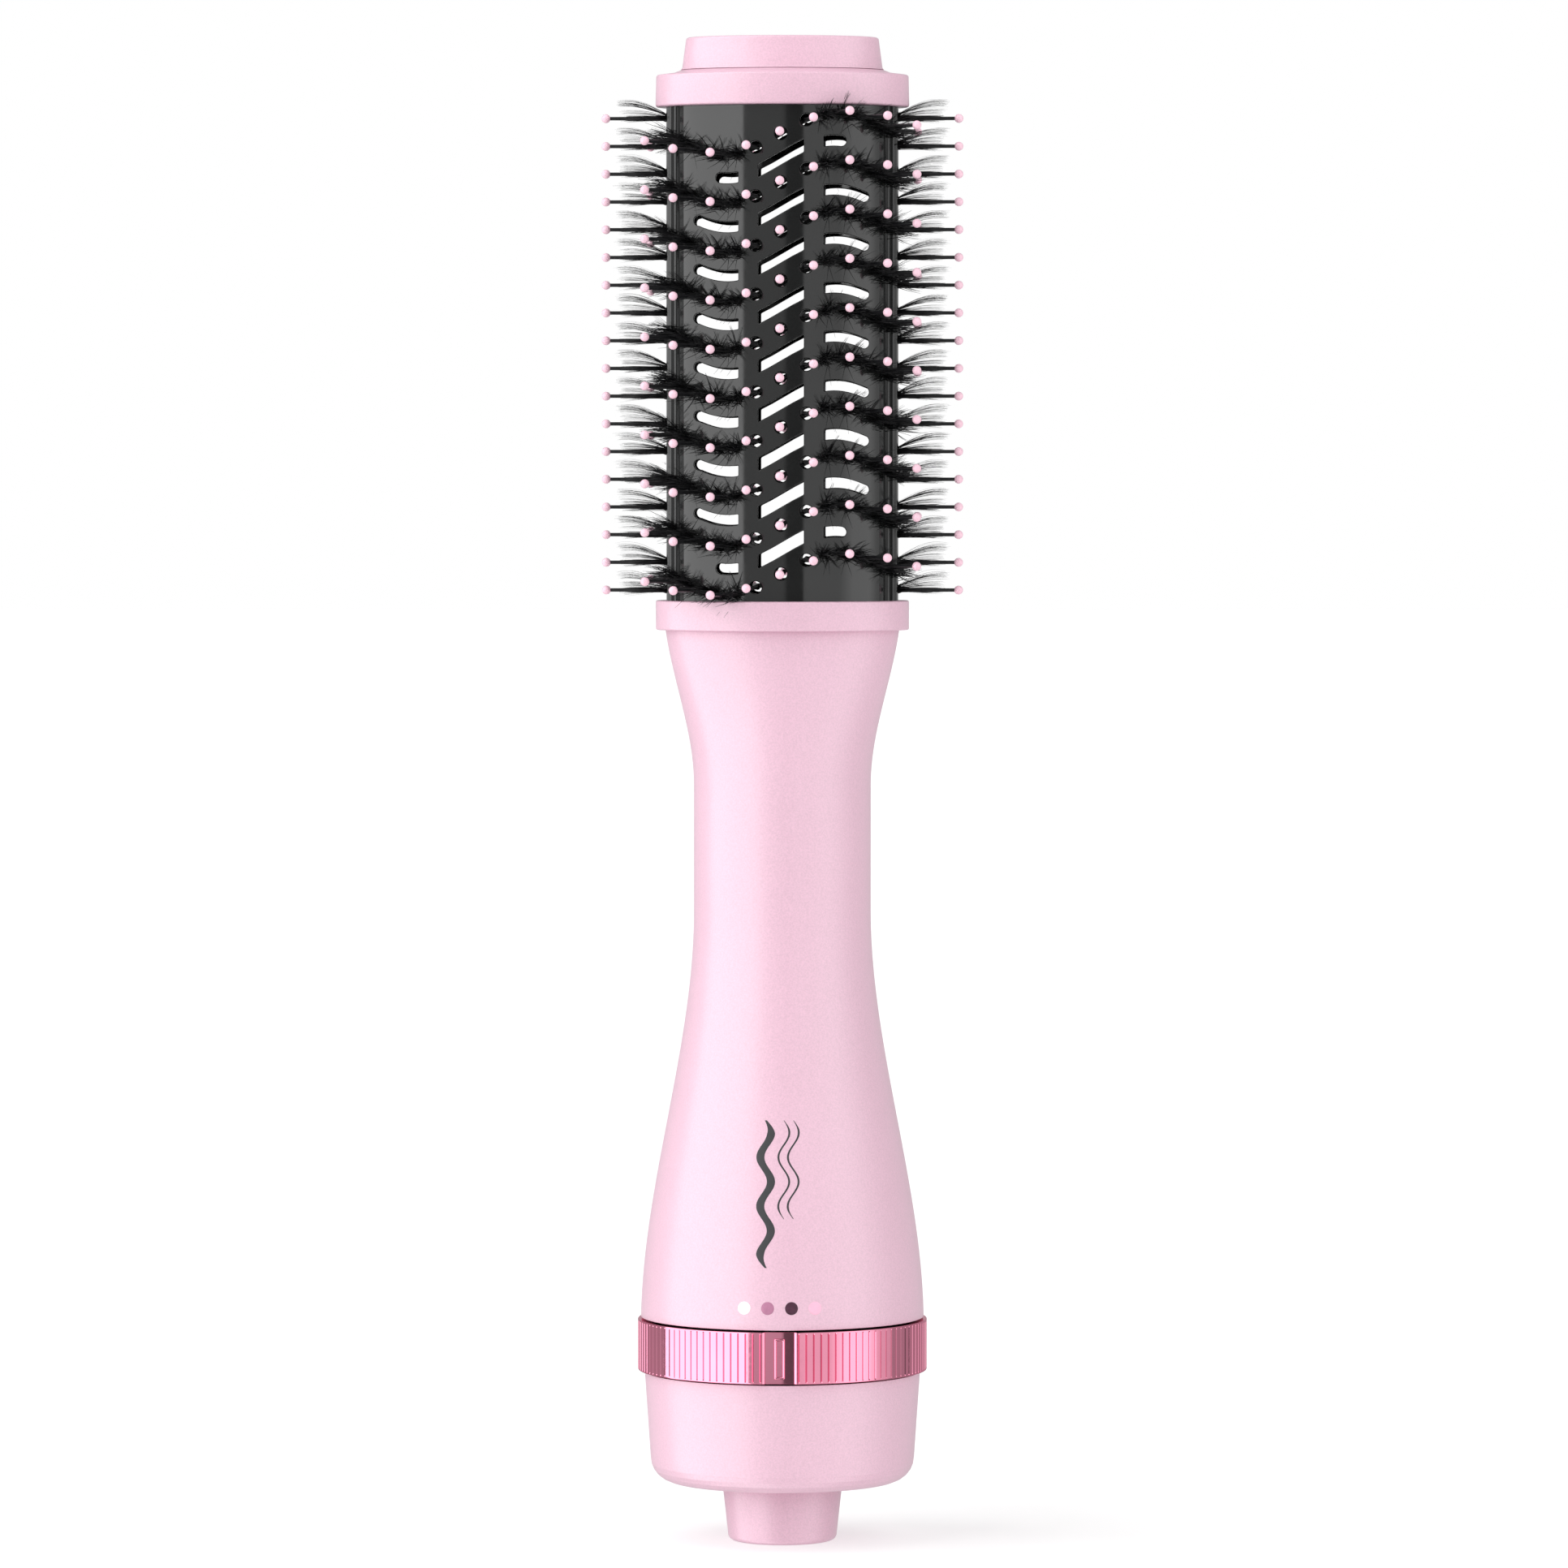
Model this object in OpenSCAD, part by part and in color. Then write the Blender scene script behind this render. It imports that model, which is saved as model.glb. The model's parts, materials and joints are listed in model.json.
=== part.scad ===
// Hot air brush: an oval bristle barrel on a waisted handle with a setting dial.
// +Z runs up the axis from the cord gland to the cap, and the front faces -Y.

/* [Handle] */
// Radius of the handle just above the dial
body_r = 33.2; // [31:0.1:36]
// Radius of the grip at the waist
grip_r = 20.7; // [20:0.1:22]
// Height at which the handle starts, above the dial
handle_bottom = 52.6; // [52.6:0.1:53]
// Height of the top of the handle, under the collar
handle_top = 213.6; // [213.6:0.1:214]
// Widening of the handle towards the barrel, on each side
flare_w = 7.2; // [6:0.1:8]
// Thinning of the handle towards the barrel, front and back
flare_d = 2.5; // [1.5:0.1:2.7]
// Wall of the handle shells
shell_wall = 2.2; // [1.8:0.1:2.4]

/* [Base] */
// Radius of the base cup at its rim
cup_r = 32.3; // [32:0.1:33]
// Radius of the corner under the base cup
cup_corner = 5.5; // [4:0.1:6]
// Number of air slots on each side of the base
air_slots = 9; // [3:2:9]
// Width of one air slot
air_slot_w = 1.8; // [1:0.1:2.2]

/* [Dial] */
// Outer radius of the dial over its ribs
dial_r = 33.9; // [33.5:0.1:35]
// Height of the dial
dial_h = 12; // [11.8:0.1:12.2]
// Number of ribs round the dial
dial_ribs = 120; // [60:10:144]
// Angle between two settings
setting_step = 9.6; // [8:0.1:10]

/* [Cord gland] */
// Radius of the hole for the cord
cord_bore_r = 3.5; // [3:0.1:4]
// Radius of the gland where it meets the base
gland_r = 14.1; // [12:0.1:14.5]
// Running clearance of the swivel and of the dial
running_gap = 0.05; // [0.03:0.01:0.08]

/* [Barrel] */
// Half width of the barrel
barrel_w = 27.2; // [26:0.1:28]
// Half depth of the barrel
barrel_d = 17.5; // [17:0.1:18]
// Wall of the barrel plates
plate_wall = 1.6; // [1.2:0.1:1.8]
// Height of the cap's lower edge
barrel_top = 335.5; // [335:0.5:338]
// Half width of the collar and of the cap
collar_w = 29.6; // [29:0.1:31]
// Half depth of the collar and of the cap
collar_d = 20.5; // [20:0.1:21.5]
// Thickness of the collar
collar_h = 6.9; // [6:0.1:7]
// Thickness of the cap's flange
flange_h = 7.5; // [7:0.1:8]
// Total height of the brush
total_h = 352; // [351:0.5:354]

/* [Bristles] */
// Number of pin rows on each broad side
pin_rows = 10; // [4:1:10]
// Distance between two pin rows
row_pitch = 11.32; // [11:0.01:11.35]
// Rise and fall of a pin row
wave_h = 4.8; // [3:0.1:5]
// Radius of a pin
pin_r = 0.45; // [0.35:0.05:0.5]
// Length of a pin outside the barrel's broad sides
pin_len = 12.1; // [10:0.1:13]
// Length of a pin outside the barrel's narrow sides
side_pin_len = 13.1; // [10:0.1:13.5]
// Radius of the ball on a pin
tip_r = 1.05; // [0.9:0.05:1.2]
// Number of pins along each narrow side
side_pins = 18; // [8:1:18]
// Length of a bristle tuft
tuft_len = 9.5; // [7:0.1:10]

/* [Hidden] */
$fn = 64;

// Colours
pearl_pink = [0.94, 0.79, 0.87];
rose_chrome = [0.82, 0.42, 0.56];
barrel_grey = [0.24, 0.25, 0.25];
bristle_black = [0.05, 0.05, 0.05];
tip_pink = [0.96, 0.80, 0.86];
inner_plastic = [0.18, 0.18, 0.19];
steel = [0.72, 0.73, 0.75];
copper = [0.80, 0.50, 0.32];
mica = [0.80, 0.75, 0.62];

// Heights of the base, the dial and the neck it turns on
cup_bottom = 14;
cup_top = 39.7;
cup_floor = 2.4;
dial_bottom = 40.2;
dial_top = dial_bottom + dial_h;
neck_r = 28.4;
neck_in_r = 26.4;
neck_bottom = 39.9;
neck_top = 56;
seat_r = 29.4;
seat_bottom = 27;
carrier_r = 31.3;
window_w = 6.9;
window_depth = 1;

// Cord gland and swivel
swivel_hole_r = 9;
stem_r = 8;
gland_top = 13.6;
stem_top = 28;

// Waist and flare of the handle
waist_start = 50;
waist_end = 148;
flare_start = 177.5;
flare_len = 43.5;
shell_rings = 22;
shell_sides = 24;

// Oval sections are polygons with a flat facing each side
oval_n = 48;
oval_step = 360 / oval_n;
bed_half_turn = 3.5 * oval_step;
collar_bottom = handle_top;
collar_top = collar_bottom + collar_h;
seat_depth = 2.5;
plate_bottom = collar_top - 3.7;
plate_top = barrel_top + seat_depth;
plate_in_w = barrel_w - plate_wall;
plate_in_d = barrel_d - plate_wall;
flange_top = barrel_top + flange_h;
tip_base_w = 23.4;
tip_top_w = 22.4;
ledge_rise = 1.2;

// Pin rows follow a wave across the barrel
top_row = 328.8;
wave_len = 51.2;
inner_pin_x = 5.9;
outer_pin_x = [12.1, 18.2, 22.5];
tuft_x = [10.2, 14.2, 16.4, 20.7, 24];
tuft_r = 0.8;
side_top = 332.9;
side_pitch = 6.47;
side_tuft_y = 2.1;
pin_hole_r = 1.45;
slot_in = 9.9;
slot_out = 20.3;
slot_short = 15.1;
slot_h = 2.45;
slot_lean = 2;
slot_drop = 0.25;
mid_slot_x = 5.3;
mid_slot_h = 3.05;
rail_x = 8.55;
rail_w = 1.9;
frame_face = 14.2;
frame_depth = 2;
rib_h = 0.9;
rod_r = 1.5;

// Fan, motor and heater
duct_r = 23.4;
duct_in_r = 22.2;
duct_top = 92;
motor_r = 11.5;
motor_bottom = 77;
motor_top = 109;
bearing_r = 3;
shaft_r = 1;
sleeve_r = 17.8;
sleeve_bottom = 128;
sleeve_top = 188;
former_r = 13;
former_top = 187;
coil_wire_r = 0.4;
coil_turns = 14;
coil_pitch = 3.4;
wire_r = 0.8;
wire_y = 3;

// Fan, stator and motor windings
fan_bottom = 62;
fan_top = 72;
fan_hub_r = 7;
fan_blades = 9;
blade_tilt = 40;
vane_bottom = 80;
vane_top = 90;
vanes = 7;
vane_tilt = 25;
bearing_h = 3;
magnet_bottom = 82;
magnet_top = 104;
magnet_in_r = 8.6;
rotor_r = 8.2;
rotor_bottom = 83;
rotor_top = 103;
rotor_slots = 5;
shaft_bottom = 61;
shaft_top = 112;

// Switch, filter and their screws
board_in_r = 15;
board_bottom = 40.8;
board_top = 42.4;
filter_r = 24.2;
filter_in_r = 16;
filter_h = 1.6;
ring_bottoms = [21, 25];
ring_h = 2;
detent_y = 26.4;
detent_r = 1.5;
detent_bottom = 44.1;
detent_top = 48.1;
arm_bottom = 44;
arm_top = 48;
arm_w = 6;
slot_gap = 0.6;
screw_r = 1.3;
boss_r = 4;
post_r = 3.5;
post_top = 31;
base_screw_x = 21;
air_slot_in = 16.5;
air_slot_out = 24.8;
air_slot_turn = 15;
cut = 0.1;

function smooth(t) = let (u = max(0, min(1, t))) u * u * (3 - 2 * u);
function waist(z) = body_r - (body_r - grip_r) * smooth((z - waist_start) / (waist_end - waist_start));
function flare(z) = smooth((z - flare_start) / flare_len);
function handle_w(z) = waist(z) + flare_w * flare(z);
function handle_d(z) = waist(z) - flare_d * flare(z);

function oval_at(a, b, t) = [a * cos(t), b * sin(t)];
function oval_arc(a, b, from, to) = [
    for (i = [0:round((to - from) / oval_step)]) oval_at(a, b, from + i * oval_step)
];
function oval(a, b) = oval_arc(a, b, oval_step / 2, 360 - oval_step / 2);

// Angle round the oval, depth and outward direction of the barrel at a given x
function turn_at(x) = acos(x / barrel_w);
function depth_at(x) = barrel_d * sin(turn_at(x));
function facing_at(x) = atan2(sin(turn_at(x)) / barrel_d, cos(turn_at(x)) / barrel_w);
function wave(x) = wave_h * sin(360 * x / wave_len);
function row_z(k) = top_row - k * row_pitch;
function both(list) = concat([for (v = list) -v], list);

// A strip of height h that follows the wave from x1 to x2, in the XZ plane
function wave_strip(x1, x2, h, steps) = concat(
    [for (i = [0:steps]) let (x = x1 + (x2 - x1) * i / steps) [x, wave(x) - h / 2]],
    [for (i = [steps:-1:0]) let (x = x1 + (x2 - x1) * i / steps) [x, wave(x) + h / 2]]
);

module tube(r_out, r_in, z1, z2) {
    translate([0, 0, z1])
        difference() {
            cylinder(r = r_out, h = z2 - z1);
            translate([0, 0, -cut]) cylinder(r = r_in, h = z2 - z1 + 2 * cut);
        }
}

module rod(r, z1, z2, x = 0, y = 0) {
    translate([x, y, z1]) cylinder(r = r, h = z2 - z1);
}

module block(x1, x2, y1, y2, z1, z2) {
    translate([x1, y1, z1]) cube([x2 - x1, y2 - y1, z2 - z1]);
}

module oval_slab(a, b, z1, z2) {
    translate([0, 0, z1]) linear_extrude(z2 - z1) polygon(oval(a, b));
}

// A slab whose outline lies evenly inside the collar's outline
module even_slab(half_w, z1, z2) {
    oval_slab(half_w, collar_d - collar_w + half_w, z1, z2);
}

module to_front() {
    mirror([0, 1, 0]) children();
}

// Raises a shape drawn in the XZ plane through the barrel from the middle to the back
module through_back() {
    translate([0, 2 * barrel_d, 0]) rotate([90, 0, 0]) linear_extrude(2 * barrel_d) children();
}

// Puts children on the barrel's back at x, pointing straight out of the surface
module on_barrel(x, z) {
    translate([x, depth_at(x), z]) rotate([0, 0, facing_at(x)]) rotate([0, 90, 0]) children();
}

// ---------------------------------------------------------------- head

module end_cap_tip() {
    color(pearl_pink)
        hull() {
            even_slab(tip_base_w, flange_top + ledge_rise, flange_top + ledge_rise + 1);
            even_slab(tip_top_w, total_h - 1.4, total_h - 0.8);
            even_slab(tip_top_w - 1, total_h - 0.4, total_h);
        }
}

module end_cap_flange() {
    color(pearl_pink)
        difference() {
            union() {
                oval_slab(collar_w, collar_d, barrel_top, flange_top - 0.6);
                hull() {
                    even_slab(collar_w - 0.1, flange_top - 0.8, flange_top - 0.5);
                    even_slab(tip_base_w + 0.6, flange_top, flange_top + ledge_rise);
                }
            }
            oval_slab(barrel_w, barrel_d, barrel_top - 1, plate_top);
            for (x = [-rail_x, rail_x]) {
                rod(screw_r, barrel_top, total_h, x);
                rod(2 * screw_r, flange_top - 1.8, total_h, x);
            }
        }
}

module cap_screws() {
    color(steel)
        for (x = [-rail_x, rail_x])
            difference() {
                union() {
                    rod(screw_r, plate_top, flange_top - 1.8, x);
                    rod(2 * screw_r - 0.1, flange_top - 1.8, flange_top, x);
                }
                block(x - 2, x + 2, -slot_gap / 2, slot_gap / 2, flange_top - 0.6, total_h);
            }
}

module tie_rods() {
    color(steel)
        for (x = [-rail_x, rail_x]) rod(rod_r, plate_bottom, plate_top, x);
}

module side_slot(side, x_end) {
    x1 = side * slot_in;
    x2 = side * (x_end - slot_h / 2);
    polygon(wave_strip(min(x1, x2), max(x1, x2), slot_h, 6));
    translate([x2, wave(x2)]) circle(r = slot_h / 2, $fn = 16);
}

module plate_slots() {
    for (k = [0:pin_rows - 2])
        translate([0, row_z(k) - row_pitch / 2]) {
            polygon(wave_strip(-mid_slot_x, mid_slot_x, mid_slot_h, 2));
            translate([0, -slot_drop])
                rotate([0, 0, -slot_lean])
                    for (side = [-1, 1])
                        side_slot(side, k == 0 || k == pin_rows - 2 ? slot_short : slot_out);
        }
}

module plate_pin_holes() {
    for (k = [0:pin_rows - 1])
        for (x = [-inner_pin_x, 0, inner_pin_x])
            translate([x, row_z(k) + wave(x)]) circle(r = pin_hole_r, $fn = 24);
}

module barrel_plate() {
    from = bed_half_turn;
    difference() {
        translate([0, 0, plate_bottom])
            linear_extrude(plate_top - plate_bottom)
                polygon(concat(
                    oval_arc(barrel_w, barrel_d, from, 180 - from),
                    [for (p = oval_arc(plate_in_w, plate_in_d, from, 180 - from)) [-p[0], p[1]]]
                ));
        through_back() plate_slots();
        through_back() plate_pin_holes();
        for (k = [0:pin_rows - 1])
            for (x = both(outer_pin_x))
                on_barrel(x, row_z(k) + wave(x))
                    translate([0, 0, -4]) cylinder(r = pin_r + 0.05, h = 6, $fn = 16);
    }
}

module front_barrel_plate() {
    color(barrel_grey) to_front() barrel_plate();
}

module rear_barrel_plate() {
    color(barrel_grey) barrel_plate();
}

module bristle_bed() {
    half = bed_half_turn;
    translate([0, 0, plate_bottom])
        linear_extrude(plate_top - plate_bottom) {
            polygon(concat(
                oval_arc(barrel_w, barrel_d, -half, half),
                [for (p = oval_arc(plate_in_w, plate_in_d, -half, half)) [p[0], -p[1]]]
            ));
        }
    for (t = [-2.5, -1.5, 1.5, 2.5])
        translate(concat(oval_at(barrel_w - 0.25, barrel_d - 0.2, t * oval_step), [collar_top + 0.4]))
            cylinder(r = 0.5, h = barrel_top - collar_top - 0.8, $fn = 16);
}

module right_bristle_bed() {
    color(barrel_grey) bristle_bed();
}

module left_bristle_bed() {
    color(barrel_grey) mirror([1, 0, 0]) bristle_bed();
}

module pin_frame() {
    for (x = [-rail_x, rail_x])
        block(
            x - rail_w / 2, x + rail_w / 2, frame_face - frame_depth, frame_face,
            plate_bottom, plate_top
        );
    for (k = [0:pin_rows - 1])
        translate([0, frame_face, row_z(k)])
            rotate([90, 0, 0])
                linear_extrude(frame_depth)
                    polygon(wave_strip(-rail_x, rail_x, rib_h, 12));
}

module front_pin_frame() {
    color(bristle_black) to_front() pin_frame();
}

module rear_pin_frame() {
    color(bristle_black) pin_frame();
}

module pin_shaft(from, len) {
    translate([0, 0, from]) cylinder(r = pin_r, h = len - from, $fn = 16);
}

module pin_ball(len) {
    rise = sqrt(tip_r * tip_r - pin_r * pin_r);
    translate([0, 0, len])
        difference() {
            translate([0, 0, rise]) sphere(r = tip_r, $fn = 24);
            translate([-2, -2, -4]) cube(4);
        }
}

module broad_pins() {
    for (k = [0:pin_rows - 1]) {
        for (x = [-inner_pin_x, 0, inner_pin_x])
            intersection() {
                on_barrel(x, row_z(k) + wave(x)) pin_shaft(-6, pin_len);
                block(-barrel_w, barrel_w, frame_face, 3 * barrel_d, 0, total_h);
            }
        for (x = both(outer_pin_x)) on_barrel(x, row_z(k) + wave(x)) pin_shaft(-2.2, pin_len);
    }
}

module broad_tips() {
    for (k = [0:pin_rows - 1])
        for (x = concat([-inner_pin_x, 0, inner_pin_x], both(outer_pin_x)))
            on_barrel(x, row_z(k) + wave(x)) pin_ball(pin_len);
}

module broad_tufts() {
    for (k = [0:pin_rows - 1])
        for (x = both(tuft_x))
            on_barrel(x, row_z(k) + wave(x)) translate([0, 0, 0.03]) tuft();
}

module tuft() {
    cylinder(r1 = tuft_r, r2 = 1.6 * tuft_r, h = tuft_len, $fn = 16);
}

module front_pins() {
    color(bristle_black) to_front() broad_pins();
}

module rear_pins() {
    color(bristle_black) broad_pins();
}

module front_pin_tips() {
    color(tip_pink) to_front() broad_tips();
}

module rear_pin_tips() {
    color(tip_pink) broad_tips();
}

module front_tufts() {
    color(bristle_black) to_front() broad_tufts();
}

module rear_tufts() {
    color(bristle_black) broad_tufts();
}

// Puts children on the flat that faces +X, one for each side pin
module along_side() {
    for (i = [0:side_pins - 1])
        translate([barrel_w * cos(oval_step / 2), 0, side_top - i * side_pitch])
            rotate([0, 90, 0]) children();
}

module side_tufts() {
    turn = asin(side_tuft_y / barrel_d);
    for (i = [0:side_pins - 1])
        for (s = [-1, 1])
            translate([barrel_w * cos(turn), s * side_tuft_y, side_top - i * side_pitch])
                rotate([0, 0, s * atan2(sin(turn) / barrel_d, cos(turn) / barrel_w)])
                    rotate([0, 90, 0]) translate([0, 0, 0.03]) tuft();
}

module right_pins() {
    color(bristle_black) along_side() pin_shaft(0, side_pin_len);
}

module left_pins() {
    color(bristle_black) mirror([1, 0, 0]) along_side() pin_shaft(0, side_pin_len);
}

module right_pin_tips() {
    color(tip_pink) along_side() pin_ball(side_pin_len);
}

module left_pin_tips() {
    color(tip_pink) mirror([1, 0, 0]) along_side() pin_ball(side_pin_len);
}

module right_tufts() {
    color(bristle_black) side_tufts();
}

module left_tufts() {
    color(bristle_black) mirror([1, 0, 0]) side_tufts();
}

module collar() {
    color(pearl_pink)
        difference() {
            oval_slab(collar_w, collar_d, collar_bottom, collar_top);
            oval_slab(barrel_w, barrel_d, plate_bottom, collar_top + 1);
            oval_slab(barrel_w - 3, barrel_d - 3, collar_bottom - 1, collar_top);
        }
}

module barrel_base() {
    a = barrel_w - 3;
    b = barrel_d - 3;
    color(inner_plastic)
        intersection() {
            oval_slab(a, b, collar_bottom, plate_bottom);
            union() {
                for (x = [-rail_x, rail_x]) block(x - 2, x + 2, -b, b, 0, total_h);
                difference() {
                    oval_slab(a + 1, b + 1, 0, total_h);
                    oval_slab(a - 1.8, b - 1.8, -1, total_h + 1);
                }
            }
        }
}

// ---------------------------------------------------------------- handle

// One point of a shell: s counts round the half turn, z is its height, inset thins it
function shell_point(s, z, inset) = let (t = 180 * s / shell_sides)
    [(handle_w(z) - inset) * cos(t), (handle_d(z) - inset) * sin(t), z];
function shell_z(j) = handle_bottom + (handle_top - handle_bottom) * j / shell_rings;

// Half of the handle at the back: outer skin, inner skin, two ends and two seams
module half_shell() {
    n = shell_sides + 1;
    skin = n * (shell_rings + 1);
    points = [
        for (inset = [0, shell_wall])
            for (j = [0:shell_rings])
                for (s = [0:shell_sides]) shell_point(s, shell_z(j), inset)
    ];
    outer = [
        for (j = [0:shell_rings - 1]) for (s = [0:shell_sides - 1]) let (a = j * n + s)
            each [[a, a + n, a + 1], [a + 1, a + n, a + n + 1]]
    ];
    inner = [for (f = outer) [skin + f[0], skin + f[2], skin + f[1]]];
    ends = [
        for (s = [0:shell_sides - 1]) let (a = s, b = shell_rings * n + s)
            each [[a, a + 1, skin + a + 1, skin + a], [b, skin + b, skin + b + 1, b + 1]]
    ];
    seams = [
        for (j = [0:shell_rings - 1]) let (a = j * n, b = j * n + shell_sides)
            each [[a, skin + a, skin + a + n, a + n], [b, b + n, skin + b + n, skin + b]]
    ];
    polyhedron(points, concat(outer, inner, ends, seams));
}

module rear_handle_shell() {
    color(pearl_pink) half_shell();
}

module front_handle_shell() {
    color(pearl_pink) to_front() half_shell();
}

mark_r = 1.5;
mark_z = handle_bottom + 5.1;
mark_tilt = atan((handle_d(mark_z - mark_r) - handle_d(mark_z + mark_r)) / (2 * mark_r));

module shell_ring() {
    color(inner_plastic) tube(body_r - shell_wall - 0.7, neck_r, handle_bottom + 0.9, neck_top + 2.5);
}

module setting_mark(step) {
    rotate([0, 0, step * setting_step])
        translate([0, -handle_d(mark_z) - 0.02, mark_z])
            rotate([90 - mark_tilt, 0, 0]) cylinder(r = mark_r, h = 0.3, $fn = 32);
}

module setting_mark_off() {
    color("white") setting_mark(-1.5);
}

module setting_mark_cool() {
    color([0.73, 0.50, 0.60]) setting_mark(-0.5);
}

module setting_mark_low() {
    color([0.30, 0.16, 0.24]) setting_mark(0.5);
}

module setting_mark_high() {
    color([1.00, 0.78, 0.87]) setting_mark(1.5);
}

// ---------------------------------------------------------------- base

module base_cup() {
    corner_r = cup_r - 1.4 - cup_corner;
    outer = concat(
        [[swivel_hole_r, cup_bottom]],
        [for (t = [-90:15:0]) [corner_r + cup_corner * cos(t), cup_bottom + cup_corner * (1 + sin(t))]],
        [[cup_r, cup_top]]
    );
    inner = [
        [seat_r, cup_top], [seat_r, seat_bottom], [seat_r - 0.9, seat_bottom - 1],
        [seat_r - 0.9, cup_bottom + 6.5], [corner_r - 1, cup_bottom + cup_floor],
        [swivel_hole_r, cup_bottom + cup_floor]
    ];
    color(pearl_pink)
        difference() {
            union() {
                rotate_extrude() polygon(concat(outer, inner));
                for (x = [-base_screw_x, base_screw_x]) rod(boss_r, cup_bottom + 1, cup_bottom + 6, x);
            }
            for (side = [0, 180])
                for (i = [-(air_slots - 1) / 2:(air_slots - 1) / 2])
                    rotate([0, 0, 90 + side + i * air_slot_turn])
                        block(
                            air_slot_in, air_slot_out, -air_slot_w / 2, air_slot_w / 2,
                            cup_bottom - 1, cup_bottom + cup_floor + 1
                        );
            for (x = [-base_screw_x, base_screw_x]) {
                rod(screw_r + 0.15, cup_bottom, post_top, x);
                rod(2.9, cup_bottom - 1, cup_bottom + 2, x);
            }
        }
}

module base_screws() {
    color(steel)
        for (x = [-base_screw_x, base_screw_x])
            difference() {
                union() {
                    rod(2.6, cup_bottom + 0.5, cup_bottom + 2, x);
                    rod(screw_r, cup_bottom + 1, post_top - 2, x);
                }
                for (turn = [0, 90])
                    translate([x, 0, cup_bottom])
                        rotate([0, 0, turn]) block(-1.6, 1.6, -slot_gap / 2, slot_gap / 2, 0, 1.1);
            }
}

module inlet_filter() {
    color(inner_plastic)
        difference() {
            tube(filter_r, filter_in_r, cup_bottom + cup_floor, cup_bottom + cup_floor + filter_h);
            for (x = [-base_screw_x, base_screw_x]) rod(boss_r + 0.2, cup_bottom, post_top, x);
        }
}

module chassis() {
    color(inner_plastic)
        difference() {
            union() {
                tube(seat_r, neck_in_r, seat_bottom, neck_bottom);
                tube(neck_r, neck_in_r, neck_bottom - 1, neck_top);
                for (side = [0, 180])
                    rotate([0, 0, side]) {
                        rod(post_r, cup_bottom + 6, post_top, base_screw_x);
                        block(base_screw_x, neck_in_r + 0.6, -1.5, 1.5, seat_bottom, post_top);
                    }
            }
            for (x = [-base_screw_x, base_screw_x]) rod(screw_r, cup_bottom, post_top - 1, x);
            block(-10.7, 10.7, -neck_r - 1, -20, arm_bottom - 0.6, arm_top + 0.6);
            block(-detent_r - 0.4, detent_r + 0.4, 20, neck_r + 1, detent_bottom - 0.5, detent_top + 0.5);
        }
}

module switch_board() {
    color([0.15, 0.35, 0.22])
        difference() {
            tube(neck_in_r, board_in_r, board_bottom, board_top);
            block(-body_r, body_r, -6, body_r, board_bottom - 1, board_top + 1);
        }
}

module detent_spring() {
    color(steel) {
        block(-6, 6, detent_y - 1.7, detent_y - 1.2, detent_bottom, detent_top);
        rod(detent_r, detent_bottom, detent_top, 0, detent_y);
    }
}

module contact_brushes() {
    color(copper)
        for (i = [0, 1]) {
            y = (i == 0 ? 1 : -1) * wire_y;
            block(12.6, 15, y - 1.4, y + 1.4, cup_bottom + cup_floor, stem_top);
            block(9.6, 13, y - 1, y + 1, ring_bottoms[i], ring_bottoms[i] + ring_h);
        }
}

// Points of one supply wire, from its contact up past the fan to the heater
wire_route = [[15.8, 26], [15.8, 32], [24.6, 40], [24.6, 92], [16, 127.4]];
wire_sides = 8;

module supply_wire() {
    last = len(wire_route) - 1;
    points = [
        for (p = wire_route)
            for (i = [0:wire_sides - 1]) let (t = 360 * i / wire_sides)
                [p[0] + wire_r * cos(t), wire_r * sin(t), p[1]]
    ];
    sides = [
        for (j = [0:last - 1]) for (i = [0:wire_sides - 1])
            let (a = j * wire_sides + i, b = j * wire_sides + (i + 1) % wire_sides)
                each [[a, b + wire_sides, b], [a, a + wire_sides, b + wire_sides]]
    ];
    ends = [
        [for (i = [0:wire_sides - 1]) i],
        [for (i = [wire_sides - 1:-1:0]) last * wire_sides + i]
    ];
    polyhedron(points, concat(sides, ends));
}

module internal_wires() {
    color("crimson")
        for (y = [-wire_y, wire_y]) translate([0, y, 0]) supply_wire();
}

// ---------------------------------------------------------------- fan and motor

module fan_duct() {
    color(inner_plastic)
        difference() {
            union() {
                tube(neck_r, duct_in_r, neck_top, neck_top + 2);
                tube(duct_r, duct_in_r, neck_top, duct_top);
            }
            for (y = [-wire_y, wire_y]) rod(wire_r + 0.4, neck_top - 1, neck_top + 3, 24.8, y);
        }
}

module motor_mount() {
    color(inner_plastic) {
        tube(motor_r + 1.5, motor_r, vane_bottom, vane_top);
        for (i = [0:vanes - 1])
            rotate([0, 0, i * 360 / vanes])
                intersection() {
                    rod(duct_in_r, vane_bottom, vane_top);
                    translate([0, 0, (vane_bottom + vane_top) / 2])
                        rotate([-vane_tilt, 0, 0]) block(motor_r + 1, 30, -0.5, 0.5, -9, 9);
                }
    }
}

module motor_case() {
    color(steel) {
        tube(motor_r, motor_r - 1, motor_bottom, motor_top);
        tube(motor_r - 0.5, bearing_r, motor_bottom, motor_bottom + bearing_h);
        tube(motor_r - 0.5, bearing_r, motor_top - bearing_h, motor_top);
    }
}

module motor_magnets() {
    color(inner_plastic)
        difference() {
            tube(motor_r - 1, magnet_in_r, magnet_bottom, magnet_top);
            block(-20, 20, -2, 2, magnet_bottom - 1, magnet_top + 1);
        }
}

module motor_bearings() {
    color([0.72, 0.55, 0.30]) {
        tube(bearing_r, shaft_r + running_gap, motor_bottom, motor_bottom + bearing_h);
        tube(bearing_r, shaft_r + running_gap, motor_top - bearing_h, motor_top);
    }
}

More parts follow.
